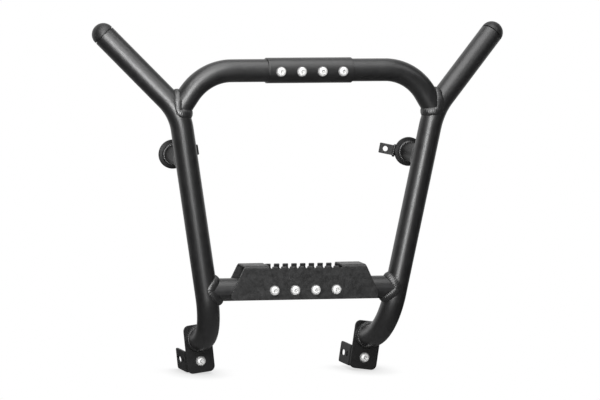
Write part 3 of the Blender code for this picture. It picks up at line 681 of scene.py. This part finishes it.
def bolt_places():
    return [(index - (BOLTS_PER_ROW - 1) / 2) * BOLT_PITCH for index in range(BOLTS_PER_ROW)]


# Tubes

def ring_points(place, across, up, radius, steps):
    angles = [tau * step / steps for step in range(steps)]
    return [place + (across * cos(angle) + up * sin(angle)) * radius for angle in angles]


def swept_rings(path, radii):
    """Rings of a round tube along a path, each with its own radius."""
    directions = [(after - before).normalized() for before, after in zip(path, path[1:])]
    rings = []
    across = directions[0].orthogonal().normalized()
    last = directions[0]
    for index, place in enumerate(path):
        before = directions[max(index - 1, 0)]
        after = directions[min(index, len(directions) - 1)]
        tangent = (before + after).normalized()
        across = last.rotation_difference(tangent) @ across
        last = tangent
        rings.append(ring_points(place, across, tangent.cross(across), radii[index], TUBE_SIDES))
    return rings


def skin_crossing(place_at, inside, outside, path, radius):
    """Position along a line where it leaves a tube, from one inside and one outside."""
    for _ in range(BISECTIONS):
        middle = (inside + outside) / 2
        if distance_to_path(place_at(middle), path) < radius:
            inside = middle
        else:
            outside = middle
    return outside


def coped_rings(rings, target_path, target_radius):
    """The same rings, shortened so that the last one follows the skin of the tube that they meet."""
    last = len(rings) - 1
    columns = []
    for column in zip(*rings):
        def place_at(position):
            low = min(int(position), last - 1)
            return column[low].lerp(column[low + 1], position - low)

        reach = last
        for index, place in enumerate(column):
            if distance_to_path(place, target_path) < target_radius:
                reach = skin_crossing(place_at, index, index - 1, target_path, target_radius)
                break
        columns.append([place_at(reach * index / last) for index in range(last + 1)])
    return [list(ring) for ring in zip(*columns)]


def tube_piece(node, path, target=None, radius=TUBE_RADIUS, wall=TUBE_WALL, finish=COAT):
    """Hollow tube with a rounded rim at its start, coped at its end where it meets a target path."""
    inward = (path[1] - path[0]).normalized() * TUBE_RIM
    path = [path[0], path[0] + inward, *path[1:]]
    count = len(path)
    outer = swept_rings(path, [radius - TUBE_RIM] + [radius] * (count - 1))
    inner = swept_rings(path, [radius - wall] * count)
    if target:
        outer = coped_rings(outer, target, TUBE_RADIUS - COPE_SINK)
        inner = coped_rings(inner, target, TUBE_RADIUS - COPE_SINK)
    mesh_piece(node + "_visual", loft(outer + inner[::-1], closed=True), finish, node)


# Welds

def tube_surface(path, radius):
    """Nearest place on a tube's skin and its outward direction there."""
    def nearest(point):
        centre = nearest_on_path(point, path)
        outward = (point - centre).normalized()
        return centre + outward * radius, outward
    return nearest


def plane_surface(place, outward):
    """Nearest place on a flat face and its outward direction."""
    def nearest(point):
        return point - outward * (point - place).dot(outward), outward
    return nearest


def circle_line(centre, direction, radius):
    across = direction.orthogonal().normalized()
    return ring_points(centre, across, direction.cross(across), radius, WELD_POINTS)


def joint_line(tip, direction, radius, target_path):
    """Closed line where a tube that points at a side tube meets its skin."""
    line = []
    for rim in circle_line(tip, direction, radius):
        reach = skin_crossing(lambda back: rim - direction * back, 0, JOINT_SEARCH, target_path, TUBE_RADIUS)
        line.append(rim - direction * reach)
    return line


def smoothed(line, rounds):
    count = len(line)
    for _ in range(rounds):
        line = [(line[index - 1] + line[index] * 2 + line[(index + 1) % count]) / 4 for index in range(count)]
    return line


def line_tangents(line):
    count = len(line)
    return [(line[(index + 1) % count] - line[index - 1]).normalized() for index in range(count)]


def ripple_phases(line):
    """Phase of a weld's ripple at each point of a closed line, with whole ridges all the way round."""
    steps = [(line[index] - line[index - 1]).length for index in range(len(line))]
    total = sum(steps)
    ridges = round(total / WELD_PITCH)
    return [tau * ridges * travelled / total for travelled in accumulate(steps)]


def ripple_wave(phase):
    """One rounded ridge per turn, steeper on its leading side."""
    return sin(phase + WELD_RIPPLE_SKEW * sin(phase))


def weld_piece(name, line, first, second, first_leg=WELD_LEG, second_leg=WELD_LEG):
    """Rippled fillet weld along a closed line where two surfaces meet."""
    line = smoothed(line, WELD_SMOOTHING)
    tangents = line_tangents(line)
    lean = sum(tangent.cross(first(place)[1]).dot(second(place)[1]) for place, tangent in zip(line, tangents))
    hand = 1 if lean > 0 else -1
    rings = []
    for place, tangent, phase in zip(line, tangents, ripple_phases(line)):
        wander = noise.noise(place * WELD_WANDER_SCALE)
        normal_1 = first(place)[1]
        normal_2 = second(place)[1]
        spread = 1 + WELD_TOE_WANDER * wander + WELD_TOE_RIPPLE * ripple_wave(phase)
        toe_1, out_1 = first(place + tangent.cross(normal_1) * hand * first_leg * spread)
        toe_2, out_2 = second(place - tangent.cross(normal_2) * hand * second_leg * spread)
        outward = (normal_1 + normal_2).normalized()
        flat = (1 + normal_1.dot(normal_2)) / 2
        crown = WELD_CROWN * (1 + WELD_CROWN_ON_FLAT * flat + WELD_CROWN_WANDER * wander)
        toe_1 = toe_1 - out_1 * WELD_TOE_SINK
        toe_2 = toe_2 - out_2 * WELD_TOE_SINK
        ring = []
        for index in range(WELD_SECTION):
            share = index / (WELD_SECTION - 1)
            arch = 4 * share * (1 - share)
            ripple = WELD_RIPPLE * ripple_wave(phase - WELD_RIPPLE_CURVE * arch) * min(1, 2 * arch)
            height = crown * (arch ** WELD_CROWN_POWER + ripple)
            ring.append(toe_1.lerp(toe_2, share) + outward * height)
        roots = ((toe_2, out_2), (place, outward), (toe_1, out_1))
        rings.append(ring + [top - out * WELD_ROOT_DEPTH for top, out in roots])
    mesh_piece(name, loft(rings, closed=True), WELD_COAT)


def bead_piece(name, line, radius):
    """Rippled round bead along a closed line."""
    middle = sum(line, Vector()) / len(line)
    rings = []
    for place, tangent, phase in zip(line, line_tangents(line), ripple_phases(line)):
        across = (place - middle).cross(tangent).normalized()
        thick = radius * (1 + LUG_WELD_RIPPLE * ripple_wave(phase))
        rings.append(ring_points(place, across, tangent.cross(across), thick, 2 * ARC_STEPS))
    mesh_piece(name, loft(rings, closed=True), WELD_COAT)


# Turned and hexagonal pieces

def hexagon_radius(across_flats):
    """Rule for the radius of a hexagon by angle."""
    def reach(angle):
        lean = (angle + pi / 6) % (pi / 3) - pi / 6
        return across_flats / 2 / cos(lean)
    return reach


def turned_piece(node, profile, steps, place, finish, closed=False):
    """Turned piece from a profile of radius and height, each a number or a rule by angle."""
    rings = []
    for radius, height in profile:
        ring = []
        for angle in [tau * step / steps for step in range(steps)]:
            reach = radius(angle) if callable(radius) else radius
            rise = height(angle) if callable(height) else height
            ring.append(place @ Vector((reach * cos(angle), reach * sin(angle), rise)))
        rings.append(ring)
    mesh_piece(node + "_visual", loft(rings, closed), finish, node)


def rim_profile(radius, half, edge, bevel):
    """Outer face of a turned plate from its lower to its upper side, with each edge cut in two bevels."""
    lower = [(radius - edge, -half), (radius - bevel, bevel - half), (radius, edge - half)]
    return lower + [(reach, -height) for reach, height in reversed(lower)]


def bolt_profile(shank):
    """Button head with a hexagon socket, then the shank and its threaded end, from the socket's floor down."""
    head_radius = HEAD_DIAMETER / 2
    shank_radius = SHANK_DIAMETER / 2
    socket = hexagon_radius(SOCKET_ACROSS_FLATS)
    mouth = SOCKET_ACROSS_FLATS / 2 / cos(pi / 6) + FASTENER_EDGE
    face = mouth + SOCKET_RIM
    floor = HEAD_HEIGHT - SOCKET_DEPTH
    profile = [
        (CENTRE_RADIUS, floor - SOCKET_CONE),
        (lambda angle: socket(angle) * SOCKET_FLOOR_SHARE, floor),
        (socket, HEAD_HEIGHT - 2 * FASTENER_EDGE),
        (mouth, HEAD_HEIGHT),
        (face, HEAD_HEIGHT),
    ]
    for step in range(1, HEAD_DOME_STEPS + 1):
        angle = pi / 2 * step / HEAD_DOME_STEPS
        reach = face + (head_radius - face) * sin(angle)
        profile.append((reach, HEAD_RIM + (HEAD_HEIGHT - HEAD_RIM) * cos(angle)))
    profile += [
        (head_radius, FASTENER_EDGE), (head_radius - FASTENER_EDGE, 0),
        (shank_radius, 0), (shank_radius, -shank + THREAD_LENGTH),
    ]
    rows = int((THREAD_LENGTH - SHANK_CHAMFER) / THREAD_PITCH * THREAD_STEPS)
    for row in range(rows):
        height = -shank + THREAD_LENGTH - THREAD_PITCH * row / THREAD_STEPS
        depth_share = min(1, row / THREAD_STEPS, (rows - 1 - row) / THREAD_STEPS)
        profile.append((thread_radius(height, depth_share), height))
    profile += [
        (shank_radius - THREAD_DEPTH, -shank + SHANK_CHAMFER / 2),
        (shank_radius - SHANK_CHAMFER, -shank),
    ]
    return profile


def thread_radius(height, depth_share):
    """Radius round a thread at a height, cut to a share of its full depth."""
    def reach(angle):
        turn = (height / THREAD_PITCH - angle / tau) % 1
        return SHANK_DIAMETER / 2 - THREAD_DEPTH * depth_share * (1 - abs(2 * turn - 1))
    return reach


def washer_profile():
    inner = WASHER_BORE / 2
    half = WASHER_THICKNESS / 2
    rim = rim_profile(WASHER_DIAMETER / 2, half, FASTENER_EDGE, WASHER_BEVEL)
    return [(inner, -half)] + rim + [(inner, half)]


def nut_profile():
    """Hexagon nut whose flats are cut by the cone of its chamfer."""
    flats = hexagon_radius(NUT_ACROSS_FLATS)
    face = NUT_ACROSS_FLATS / 2 * NUT_FACE_SHARE
    half = NUT_THICKNESS / 2
    slope = tan(NUT_CHAMFER)
    inner = WASHER_BORE / 2

    def edge(sign):
        return lambda angle: sign * (half - (flats(angle) - face) * slope)

    return [
        (inner, -half + FASTENER_EDGE), (inner + 2 * FASTENER_EDGE, -half), (face, -half), (flats, edge(-1)),
        (flats, edge(1)), (face, half), (inner + 2 * FASTENER_EDGE, half), (inner, half - FASTENER_EDGE),
    ]


def bolt_set(name, x, z, front, back, turn, spin):
    """Bolt and washer on the front face and nut on the back face of what they clamp."""
    def place(depth, twist=0):
        return facing_back(x, depth, z, turn + twist)

    shank = back - front + HEAD_STACK + CLEARANCE + NUT_THICKNESS + SHANK_PAST_NUT
    washer_middle = front - CLEARANCE - WASHER_THICKNESS / 2
    nut_middle = back + CLEARANCE + NUT_THICKNESS / 2
    turned_piece(name + "_bolt", bolt_profile(shank), HEAD_STEPS, place(front - HEAD_STACK, spin), ZINC)
    turned_piece(name + "_washer", washer_profile(), TURN_STEPS, place(washer_middle), DULL_ZINC, closed=True)
    turned_piece(name + "_nut", nut_profile(), NUT_STEPS, place(nut_middle), ZINC, closed=True)


def make_fasteners():
    cross_depth = leg_point(1, CROSS_HEIGHT).y
    for index, x in enumerate(bolt_places(), start=1):
        bolt_set(f"sleeve_{index}", x, HOOP_HEIGHT, -SLEEVE_FACE, SLEEVE_FACE, 0, SLEEVE_BOLT_SPIN * index)
        bolt_set(f"channel_{index}", x, CROSS_HEIGHT, cross_depth - CHANNEL_HALF_DEPTH,
                 cross_depth + CHANNEL_HALF_DEPTH, 0, CHANNEL_BOLT_SPIN * index)
    for label, side in SIDES.items():
        place = foot_point(side, FOOT_BOLT_DROP)
        bolt_set(label + "_foot", place.x, place.z, PLATE_FRONT, CLEVIS_FRONT + CLEVIS_THICKNESS,
                 side * PLATE_LEAN, FOOT_BOLT_SPIN)


# Pieces of one side

def make_cap(label, side):
    """Domed end cap with its spigot inside the horn."""
    tip, shoulder = side_corners(side)[:2]
    axis = (tip - shoulder).normalized()
    spigot = TUBE_RADIUS - TUBE_WALL - CLEARANCE
    hollow = spigot - CAP_WALL
    lip_top = CAP_SEAM + CAP_LIP
    dome = [
        (max(radius, CENTRE_RADIUS), lip_top + (height - lip_top) * CAP_ROUNDNESS)
        for radius, height in reversed(arc_points((0, lip_top), TUBE_RADIUS, 0, pi / 2, CAP_DOME_STEPS))
    ]
    inside = arc_points((0, lip_top), hollow, 0, pi / 2 - CAP_HOLLOW_OPENING, CAP_HOLLOW_STEPS)
    profile = dome + [
        (TUBE_RADIUS, CAP_SEAM + TUBE_RIM), (TUBE_RADIUS - TUBE_RIM, CAP_SEAM),
        (TUBE_RADIUS - CAP_COLLAR, CAP_SEAM), (TUBE_RADIUS - CAP_COLLAR, CLEARANCE), (spigot, CLEARANCE),
        (spigot, -CAP_SPIGOT), (hollow, -CAP_SPIGOT),
    ] + inside
    place = Matrix.Translation(tip) @ axis.to_track_quat("Z", "Y").to_matrix().to_4x4()
    turned_piece(label + "_end_cap", profile, TURN_STEPS, place, CAP_PLASTIC)


def make_foot_plate(label, side):
    node = label + "_foot_plate"
    centre = foot_point(side, 0)
    place = facing_back(centre.x, PLATE_FRONT + PLATE_THICKNESS / 2, centre.z, -side * PLATE_LEAN)
    outline = rounded_rectangle(PLATE_WIDTH, PLATE_HEIGHT, PLATE_CORNER)
    hole = circle_outline((0, -FOOT_BOLT_DROP), HOLE_DIAMETER)
    sheet_piece(node, blank_mesh(node, [outline, hole], PLATE_THICKNESS, PLATE_EDGE), place, SHADED_COAT)


def make_clevis(label, side):
    """Folded bracket behind the foot plate, from a flat blank with its holes and slots."""
    node = label + "_clevis"
    fold = CLEVIS_FOLD + CLEVIS_THICKNESS / 2
    leg = CLEVIS_REACH - CLEVIS_FOLD - CLEVIS_THICKNESS
    web = CLEVIS_WIDTH - 2 * (CLEVIS_FOLD + CLEVIS_THICKNESS)
    total = 2 * leg + web + fold * pi
    hole = CLEVIS_REACH - CLEVIS_HOLE_BACK
    slot = CLEVIS_REACH - CLEVIS_SLOT_BACK
    outlines = [rounded_rectangle(total, CLEVIS_HEIGHT, CLEVIS_CORNER, total / 2)]
    outlines.append(circle_outline((total / 2, 0), HOLE_DIAMETER))
    outlines += [circle_outline((along, 0), CLEVIS_HOLE) for along in (hole, total - hole)]
    outlines += [slot_outline(along, CLEVIS_SLOT_LENGTH, CLEVIS_HOLE) for along in (slot, total - slot)]
    blank = blank_mesh(node, outlines, CLEVIS_THICKNESS, SHEET_EDGE)
    start = (CLEVIS_WIDTH / 2 - CLEVIS_THICKNESS / 2, CLEVIS_REACH)
    fold_mesh(blank, start, -pi / 2, [leg, web, leg], fold)
    bolt = foot_point(side, FOOT_BOLT_DROP)
    place = Matrix.Translation((bolt.x, CLEVIS_FRONT, bolt.z)) @ Matrix.Rotation(side * PLATE_LEAN, 4, "Y")
    lying = Matrix(((1, 0, 0, 0), (0, 0, 1, 0), (0, 1, 0, 0), (0, 0, 0, 1)))
    sheet_piece(node, blank, place @ lying, SHADED_COAT)


def flange_front(side):
    return leg_point(side, STANDOFF_HEIGHT).y + STANDOFF_REACH + CLEARANCE


def make_flange(label, side):
    root = leg_point(side, STANDOFF_HEIGHT)
    half = FLANGE_THICKNESS / 2
    place = facing_back(root.x, flange_front(side) + half, root.z)
    rim = rim_profile(FLANGE_DIAMETER / 2, half, PLATE_EDGE, FLANGE_BEVEL)
    profile = [(CENTRE_RADIUS, -half)] + rim + [(CENTRE_RADIUS, half)]
    turned_piece(label + "_standoff_flange", profile, TURN_STEPS, place, SHADED_COAT)


def lug_place(side):
    """Frame of a lug at the inner rim of its flange, swept back and square to the leg."""
    root = leg_point(side, STANDOFF_HEIGHT)
    _, shoulder, heel, _ = side_corners(1)
    lean = atan2(shoulder.x - heel.x, shoulder.z - heel.z)
    flange = facing_back(root.x, flange_front(side) + FLANGE_THICKNESS / 2, root.z, -side * lean)
    rim = Matrix.Translation((-side * FLANGE_DIAMETER / 2, -LUG_DROP, 0))
    return flange @ rim @ Matrix.Rotation(-side * LUG_SWEEP, 4, "Y")


def make_lug(label, side):
    """Flat lug with its hole and the bead round its root."""
    node = label + "_lug"
    place = lug_place(side)
    length = LUG_LENGTH - LUG_START
    outline = rounded_rectangle(length, LUG_WIDTH, LUG_CORNER, -side * (LUG_START + length / 2))
    hole = circle_outline((-side * (LUG_LENGTH - LUG_HOLE_FROM_TIP), 0), LUG_HOLE)
    sheet_piece(node, blank_mesh(node, [outline, hole], LUG_THICKNESS, LUG_EDGE), place, SHADED_COAT)
    loop = rounded_rectangle(LUG_WIDTH, LUG_THICKNESS, LUG_THICKNESS / 2 - LUG_WELD_FLAT)
    line = [place @ Vector((-side * LUG_WELD_OFFSET, y, z)) for y, z in resampled(loop, LUG_WELD_POINTS)]
    bead_piece(node + "_weld", line, LUG_WELD_RADIUS)


def make_welds(label, side):
    """Fillet welds at the shoulder, the cross tube, the standoff, its flange and the foot."""
    leg = leg_path(side)
    standoff = standoff_path(side)
    for name, path, radius, target in (
        ("shoulder", hoop_path(side), TUBE_RADIUS, shoulder_path(side)),
        ("cross", cross_path(side), TUBE_RADIUS, leg),
        ("standoff", standoff, STANDOFF_OD / 2, leg),
    ):
        line = joint_line(path[-1], (path[-1] - path[-2]).normalized(), radius, target)
        weld_piece(f"{label}_{name}_weld", line, tube_surface(target, TUBE_RADIUS), tube_surface(path, radius))

    foot = side_corners(side)[-1]
    foot_end = [foot - Vector((0, STRAIGHT_REACH, 0)), foot]
    for name, face, path, radius, legs in (
        ("flange", flange_front(side), standoff, STANDOFF_OD / 2, (FLANGE_WELD_LEG, FLANGE_WELD_LEG)),
        ("foot", PLATE_FRONT, foot_end, TUBE_RADIUS, (FOOT_WELD_PLATE_LEG, FOOT_WELD_TUBE_LEG)),
    ):
        centre = Vector((path[0].x, face, path[0].z))
        line = circle_line(centre, Vector((0, 1, 0)), radius)
        surfaces = plane_surface(centre, Vector((0, -1, 0))), tube_surface(path, radius)
        weld_piece(f"{label}_{name}_weld", line, *surfaces, *legs)


def make_side(label, side):
    leg = leg_path(side)
    tube_piece(label + "_side_tube", rounded_path(side_corners(side), [BEND_RADIUS, HEEL_BEND_RADIUS]))
    tube_piece(label + "_hoop_tube", hoop_path(side), shoulder_path(side))
    tube_piece(label + "_cross_tube", cross_path(side), leg)
    tube_piece(label + "_standoff", standoff_path(side), leg, STANDOFF_OD / 2, STANDOFF_WALL, SHADED_COAT)
    for make_piece in (make_cap, make_foot_plate, make_clevis, make_flange, make_lug, make_welds):
        make_piece(label, side)


# Pieces across the middle

def make_sleeve():
    """Sleeve whose outer face has a ring just inside each end, where its painted edge highlight stops."""
    half = SLEEVE_LENGTH / 2
    inner_half = half - SLEEVE_SUPPORT
    rim = rim_profile(SLEEVE_FACE, half, SLEEVE_EDGE, SLEEVE_BEVEL)[::-1]
    face = [(SLEEVE_FACE, inner_half), (SLEEVE_FACE, -inner_half)]
    bore = [(SLEEVE_BORE_RADIUS, height) for height in (-half, -inner_half, inner_half)]
    profile = [(SLEEVE_BORE_RADIUS, half)] + rim[:3] + face + rim[3:] + bore
    place = Matrix.Translation((0, 0, HOOP_HEIGHT)) @ Matrix.Rotation(pi / 2, 4, "Y")
    turned_piece("hoop_sleeve", profile, TURN_STEPS, place, COAT, closed=True)


def channel_end(along):
    """Half length of the channel at a distance along its unfolded section."""
    along = min(along, CHANNEL_UNFOLDED - along)
    height = along
    if along > CHANNEL_LEG:
        turned = min((along - CHANNEL_LEG) / CHANNEL_BEND, pi / 2)
        height = CHANNEL_LEG + CHANNEL_OUTSIDE * sin(turned)
    drop = max(0, height - CHANNEL_END_RISE) / (CHANNEL_HEIGHT - CHANNEL_END_RISE)
    return (CHANNEL_BOTTOM_LENGTH - drop * (CHANNEL_BOTTOM_LENGTH - CHANNEL_TOP_LENGTH)) / 2


def tooth_corner(tip, edge, side):
    """Rounded corner of a tooth in the flat blank, from the tip to the slot beside it."""
    turns = [pi / 2 * step / CORNER_STEPS for step in range(CORNER_STEPS + 1)]
    return [(tip - TOOTH_ROUND * (1 - cos(turn)), edge + side * TOOTH_ROUND * (1 - sin(turn)))
            for turn in turns]


def slot_row(slot_depth):
    """Edge of a row of slots in the flat blank, with the tips of the teeth in the middle of the fold."""
    tip = CHANNEL_LEG + CHANNEL_BEND * pi / 4
    radius = SLOT_WIDTH / 2
    row = []
    for index in range(SLOT_COUNT):
        x = (index - (SLOT_COUNT - 1) / 2) * SLOT_PITCH
        root = (x, CHANNEL_HEIGHT - slot_depth + radius)
        row += tooth_corner(tip, x - radius, -1) if index else [(tip, x - radius)]
        for across, height in arc_points(root, radius, pi, pi, SLOT_STEPS):
            past_leg = max(0, height - CHANNEL_LEG) / CHANNEL_OUTSIDE
            along = min(height, CHANNEL_LEG) + CHANNEL_BEND * asin(past_leg)
            if along < tip - TOOTH_ROUND:
                row.append((along, across))
        row += tooth_corner(tip, x + radius, 1)[::-1] if index < SLOT_COUNT - 1 else [(tip, x + radius)]
    return row


def channel_outline():
    """Outer edge of the flat blank, with sloping ends and rounded lower corners."""
    bends = [CHANNEL_BEND * pi / 2 * step / CORNER_STEPS for step in range(1, CORNER_STEPS + 1)]
    stations = [0, CHANNEL_END_RISE, CHANNEL_LEG] + [CHANNEL_LEG + bend for bend in bends]
    stations += [CHANNEL_UNFOLDED - along for along in reversed(stations)]
    right = [(along, channel_end(along)) for along in stations]
    left = [(along, -half) for along, half in reversed(right)]
    radii = [CHANNEL_CORNER] + [0] * (len(stations) - 2) + [CHANNEL_CORNER]
    return rounded_outline(right + left, radii * 2)


def make_channel():
    """Folded step channel from a flat blank with its toothed window, bolt holes and sloping ends."""
    outlines = [channel_outline()]
    for x in bolt_places():
        outlines.append(circle_outline((CHANNEL_DROP, x), HOLE_DIAMETER))
        outlines.append(circle_outline((CHANNEL_UNFOLDED - CHANNEL_DROP, x), HOLE_DIAMETER))
    back_row = [(CHANNEL_UNFOLDED - along, x) for along, x in reversed(slot_row(BACK_SLOT_DEPTH))]
    outlines.append(slot_row(FRONT_SLOT_DEPTH) + back_row)
    blank = blank_mesh("step_channel", outlines, CHANNEL_THICKNESS, SHEET_EDGE)
    start = (CHANNEL_THICKNESS / 2 - CHANNEL_HALF_DEPTH, -CHANNEL_DROP)
    fold_mesh(blank, start, pi / 2, [CHANNEL_LEG, CHANNEL_WEB, CHANNEL_LEG], CHANNEL_BEND)
    place = Matrix.Translation((0, leg_point(1, CROSS_HEIGHT).y, CROSS_HEIGHT))
    crosswise = Matrix(((0, 1, 0, 0), (1, 0, 0, 0), (0, 0, 1, 0), (0, 0, 0, 1)))
    sheet_piece("step_channel", blank, place @ crosswise, CHANNEL_COAT)


# Stage and light

LIGHT_CENTRE = Vector((0.0, 0.0, 0.35))
LIGHT_DISTANCE = 2.9
# Softbox panels: azimuth and elevation in degrees, width, height and power
LIGHT_PANELS = (
    (-22, -6, 0.75, 1.30, 85),
    (-25, 20, 0.80, 1.05, 46),
    (-14, 44, 1.60, 1.30, 40),
    (-4, 79, 2.40, 2.20, 54),
    (-56, 46, 0.80, 1.20, 20),
    (50, 42, 1.30, 1.30, 9),
)

# World: white as seen, its fill on matt faces, and its tones in reflections from front to back by direction
WHITE = 1.0
WORLD_FILL = 0.10
WORLD_TONES = (0.03, 1.0)
WORLD_SPAN = (0.10, 0.75)

# Floor: its contact shadow by occlusion, and its tones in reflections behind the object and close to it
FLOOR_REACH = 30.0
FLOOR_COLOUR = (0.8, 0.8, 0.8, 1)
CONTACT_SAMPLES = 16
CONTACT_DISTANCE = 0.075
CONTACT_TONES = (0.66, 1.0)
CONTACT_SPAN = (0.35, 0.93)
FAR_TONES = (0.04, 1.0)
FAR_SPAN = (0.2, 1.6)
NEAR_TONES = (0.20, 0.0)
NEAR_SPAN = (0.15, 0.50)


def make_lights():
    """Softbox panels that climb from the front to overhead, with a weaker one at each side."""
    for index, (azimuth, elevation, width, height, power) in enumerate(LIGHT_PANELS, start=1):
        turn = radians(azimuth)
        rise = radians(elevation)
        outward = Vector((sin(turn) * cos(rise), -cos(turn) * cos(rise), sin(rise)))
        data = bpy.data.lights.new(f"softbox_{index}", "AREA")
        data.shape = "RECTANGLE"
        data.size = width
        data.size_y = height
        data.energy = power
        lamp = new_object(f"softbox_{index}", data)
        lamp.matrix_world = (Matrix.Translation(LIGHT_CENTRE + outward * LIGHT_DISTANCE)
                             @ outward.to_track_quat("Z", "Y").to_matrix().to_4x4())


def make_world():
    """White for the camera, with a room that is dark in front and bright behind for reflections."""
    world = bpy.data.worlds.new("studio")
    bpy.context.scene.world = world
    world.use_nodes = True
    nodes = Nodes(world.node_tree)
    nodes.tree.nodes.clear()
    path = nodes.node("ShaderNodeLightPath")
    depth = nodes.depth(nodes.place("Generated"))
    room = nodes.ranged(depth, *WORLD_TONES, *WORLD_SPAN, interpolation_type="SMOOTHSTEP")
    strength = nodes.blended(path.outputs["Is Glossy Ray"], WORLD_FILL, room)
    strength = nodes.blended(path.outputs["Is Transmission Ray"], strength, WHITE)
    strength = nodes.blended(path.outputs["Is Camera Ray"], strength, WHITE)
    background = nodes.node("ShaderNodeBackground", {"Color": (WHITE, WHITE, WHITE, 1), "Strength": strength})
    nodes.node("ShaderNodeOutputWorld", {"Surface": background.outputs["Background"]})


def make_floor():
    """White floor that keeps a soft contact shadow and has the room's tones in reflections."""
    mesh = bpy.data.meshes.new("floor")
    corners = [(x * FLOOR_REACH, y * FLOOR_REACH, 0) for x, y in ((-1, -1), (1, -1), (1, 1), (-1, 1))]
    mesh.from_pydata(corners, [], [(0, 1, 2, 3)])
    floor = new_object("floor", mesh)
    shader = Shader("white_floor")
    mesh.materials.append(shader.material)
    shader.tree.nodes.remove(shader.surface)

    contact = shader.node("ShaderNodeAmbientOcclusion", {"Distance": CONTACT_DISTANCE}, samples=CONTACT_SAMPLES)
    lit = shader.ranged(contact.outputs["AO"], *CONTACT_TONES, *CONTACT_SPAN)
    place = shader.place()
    far = shader.ranged(shader.depth(place), *FAR_TONES, *FAR_SPAN)
    distance = shader.node("ShaderNodeVectorMath", {0: place}, operation="LENGTH")
    near = shader.ranged(distance.outputs["Value"], *NEAR_TONES, *NEAR_SPAN)

    path = shader.node("ShaderNodeLightPath")
    glow = shader.blended(path.outputs["Is Glossy Ray"], lit, shader.larger(far, near))
    emission = shader.node("ShaderNodeEmission", {"Strength": glow})
    diffuse = shader.node("ShaderNodeBsdfDiffuse", {"Color": FLOOR_COLOUR})
    seen = shader.larger(path.outputs["Is Camera Ray"], path.outputs["Is Glossy Ray"])
    seen = shader.larger(seen, path.outputs["Is Transmission Ray"])
    mix = shader.node("ShaderNodeMixShader", {0: seen, 1: diffuse.outputs[0], 2: emission.outputs[0]})
    output = next(node for node in shader.tree.nodes if node.type == "OUTPUT_MATERIAL")
    shader.feed(output, {"Surface": mix.outputs[0]})


bpy.context.scene.view_settings.view_transform = "Standard"
make_camera()
make_world()
make_lights()
make_floor()
for side_label, side_sign in SIDES.items():
    make_side(side_label, side_sign)
make_sleeve()
make_channel()
make_fasteners()
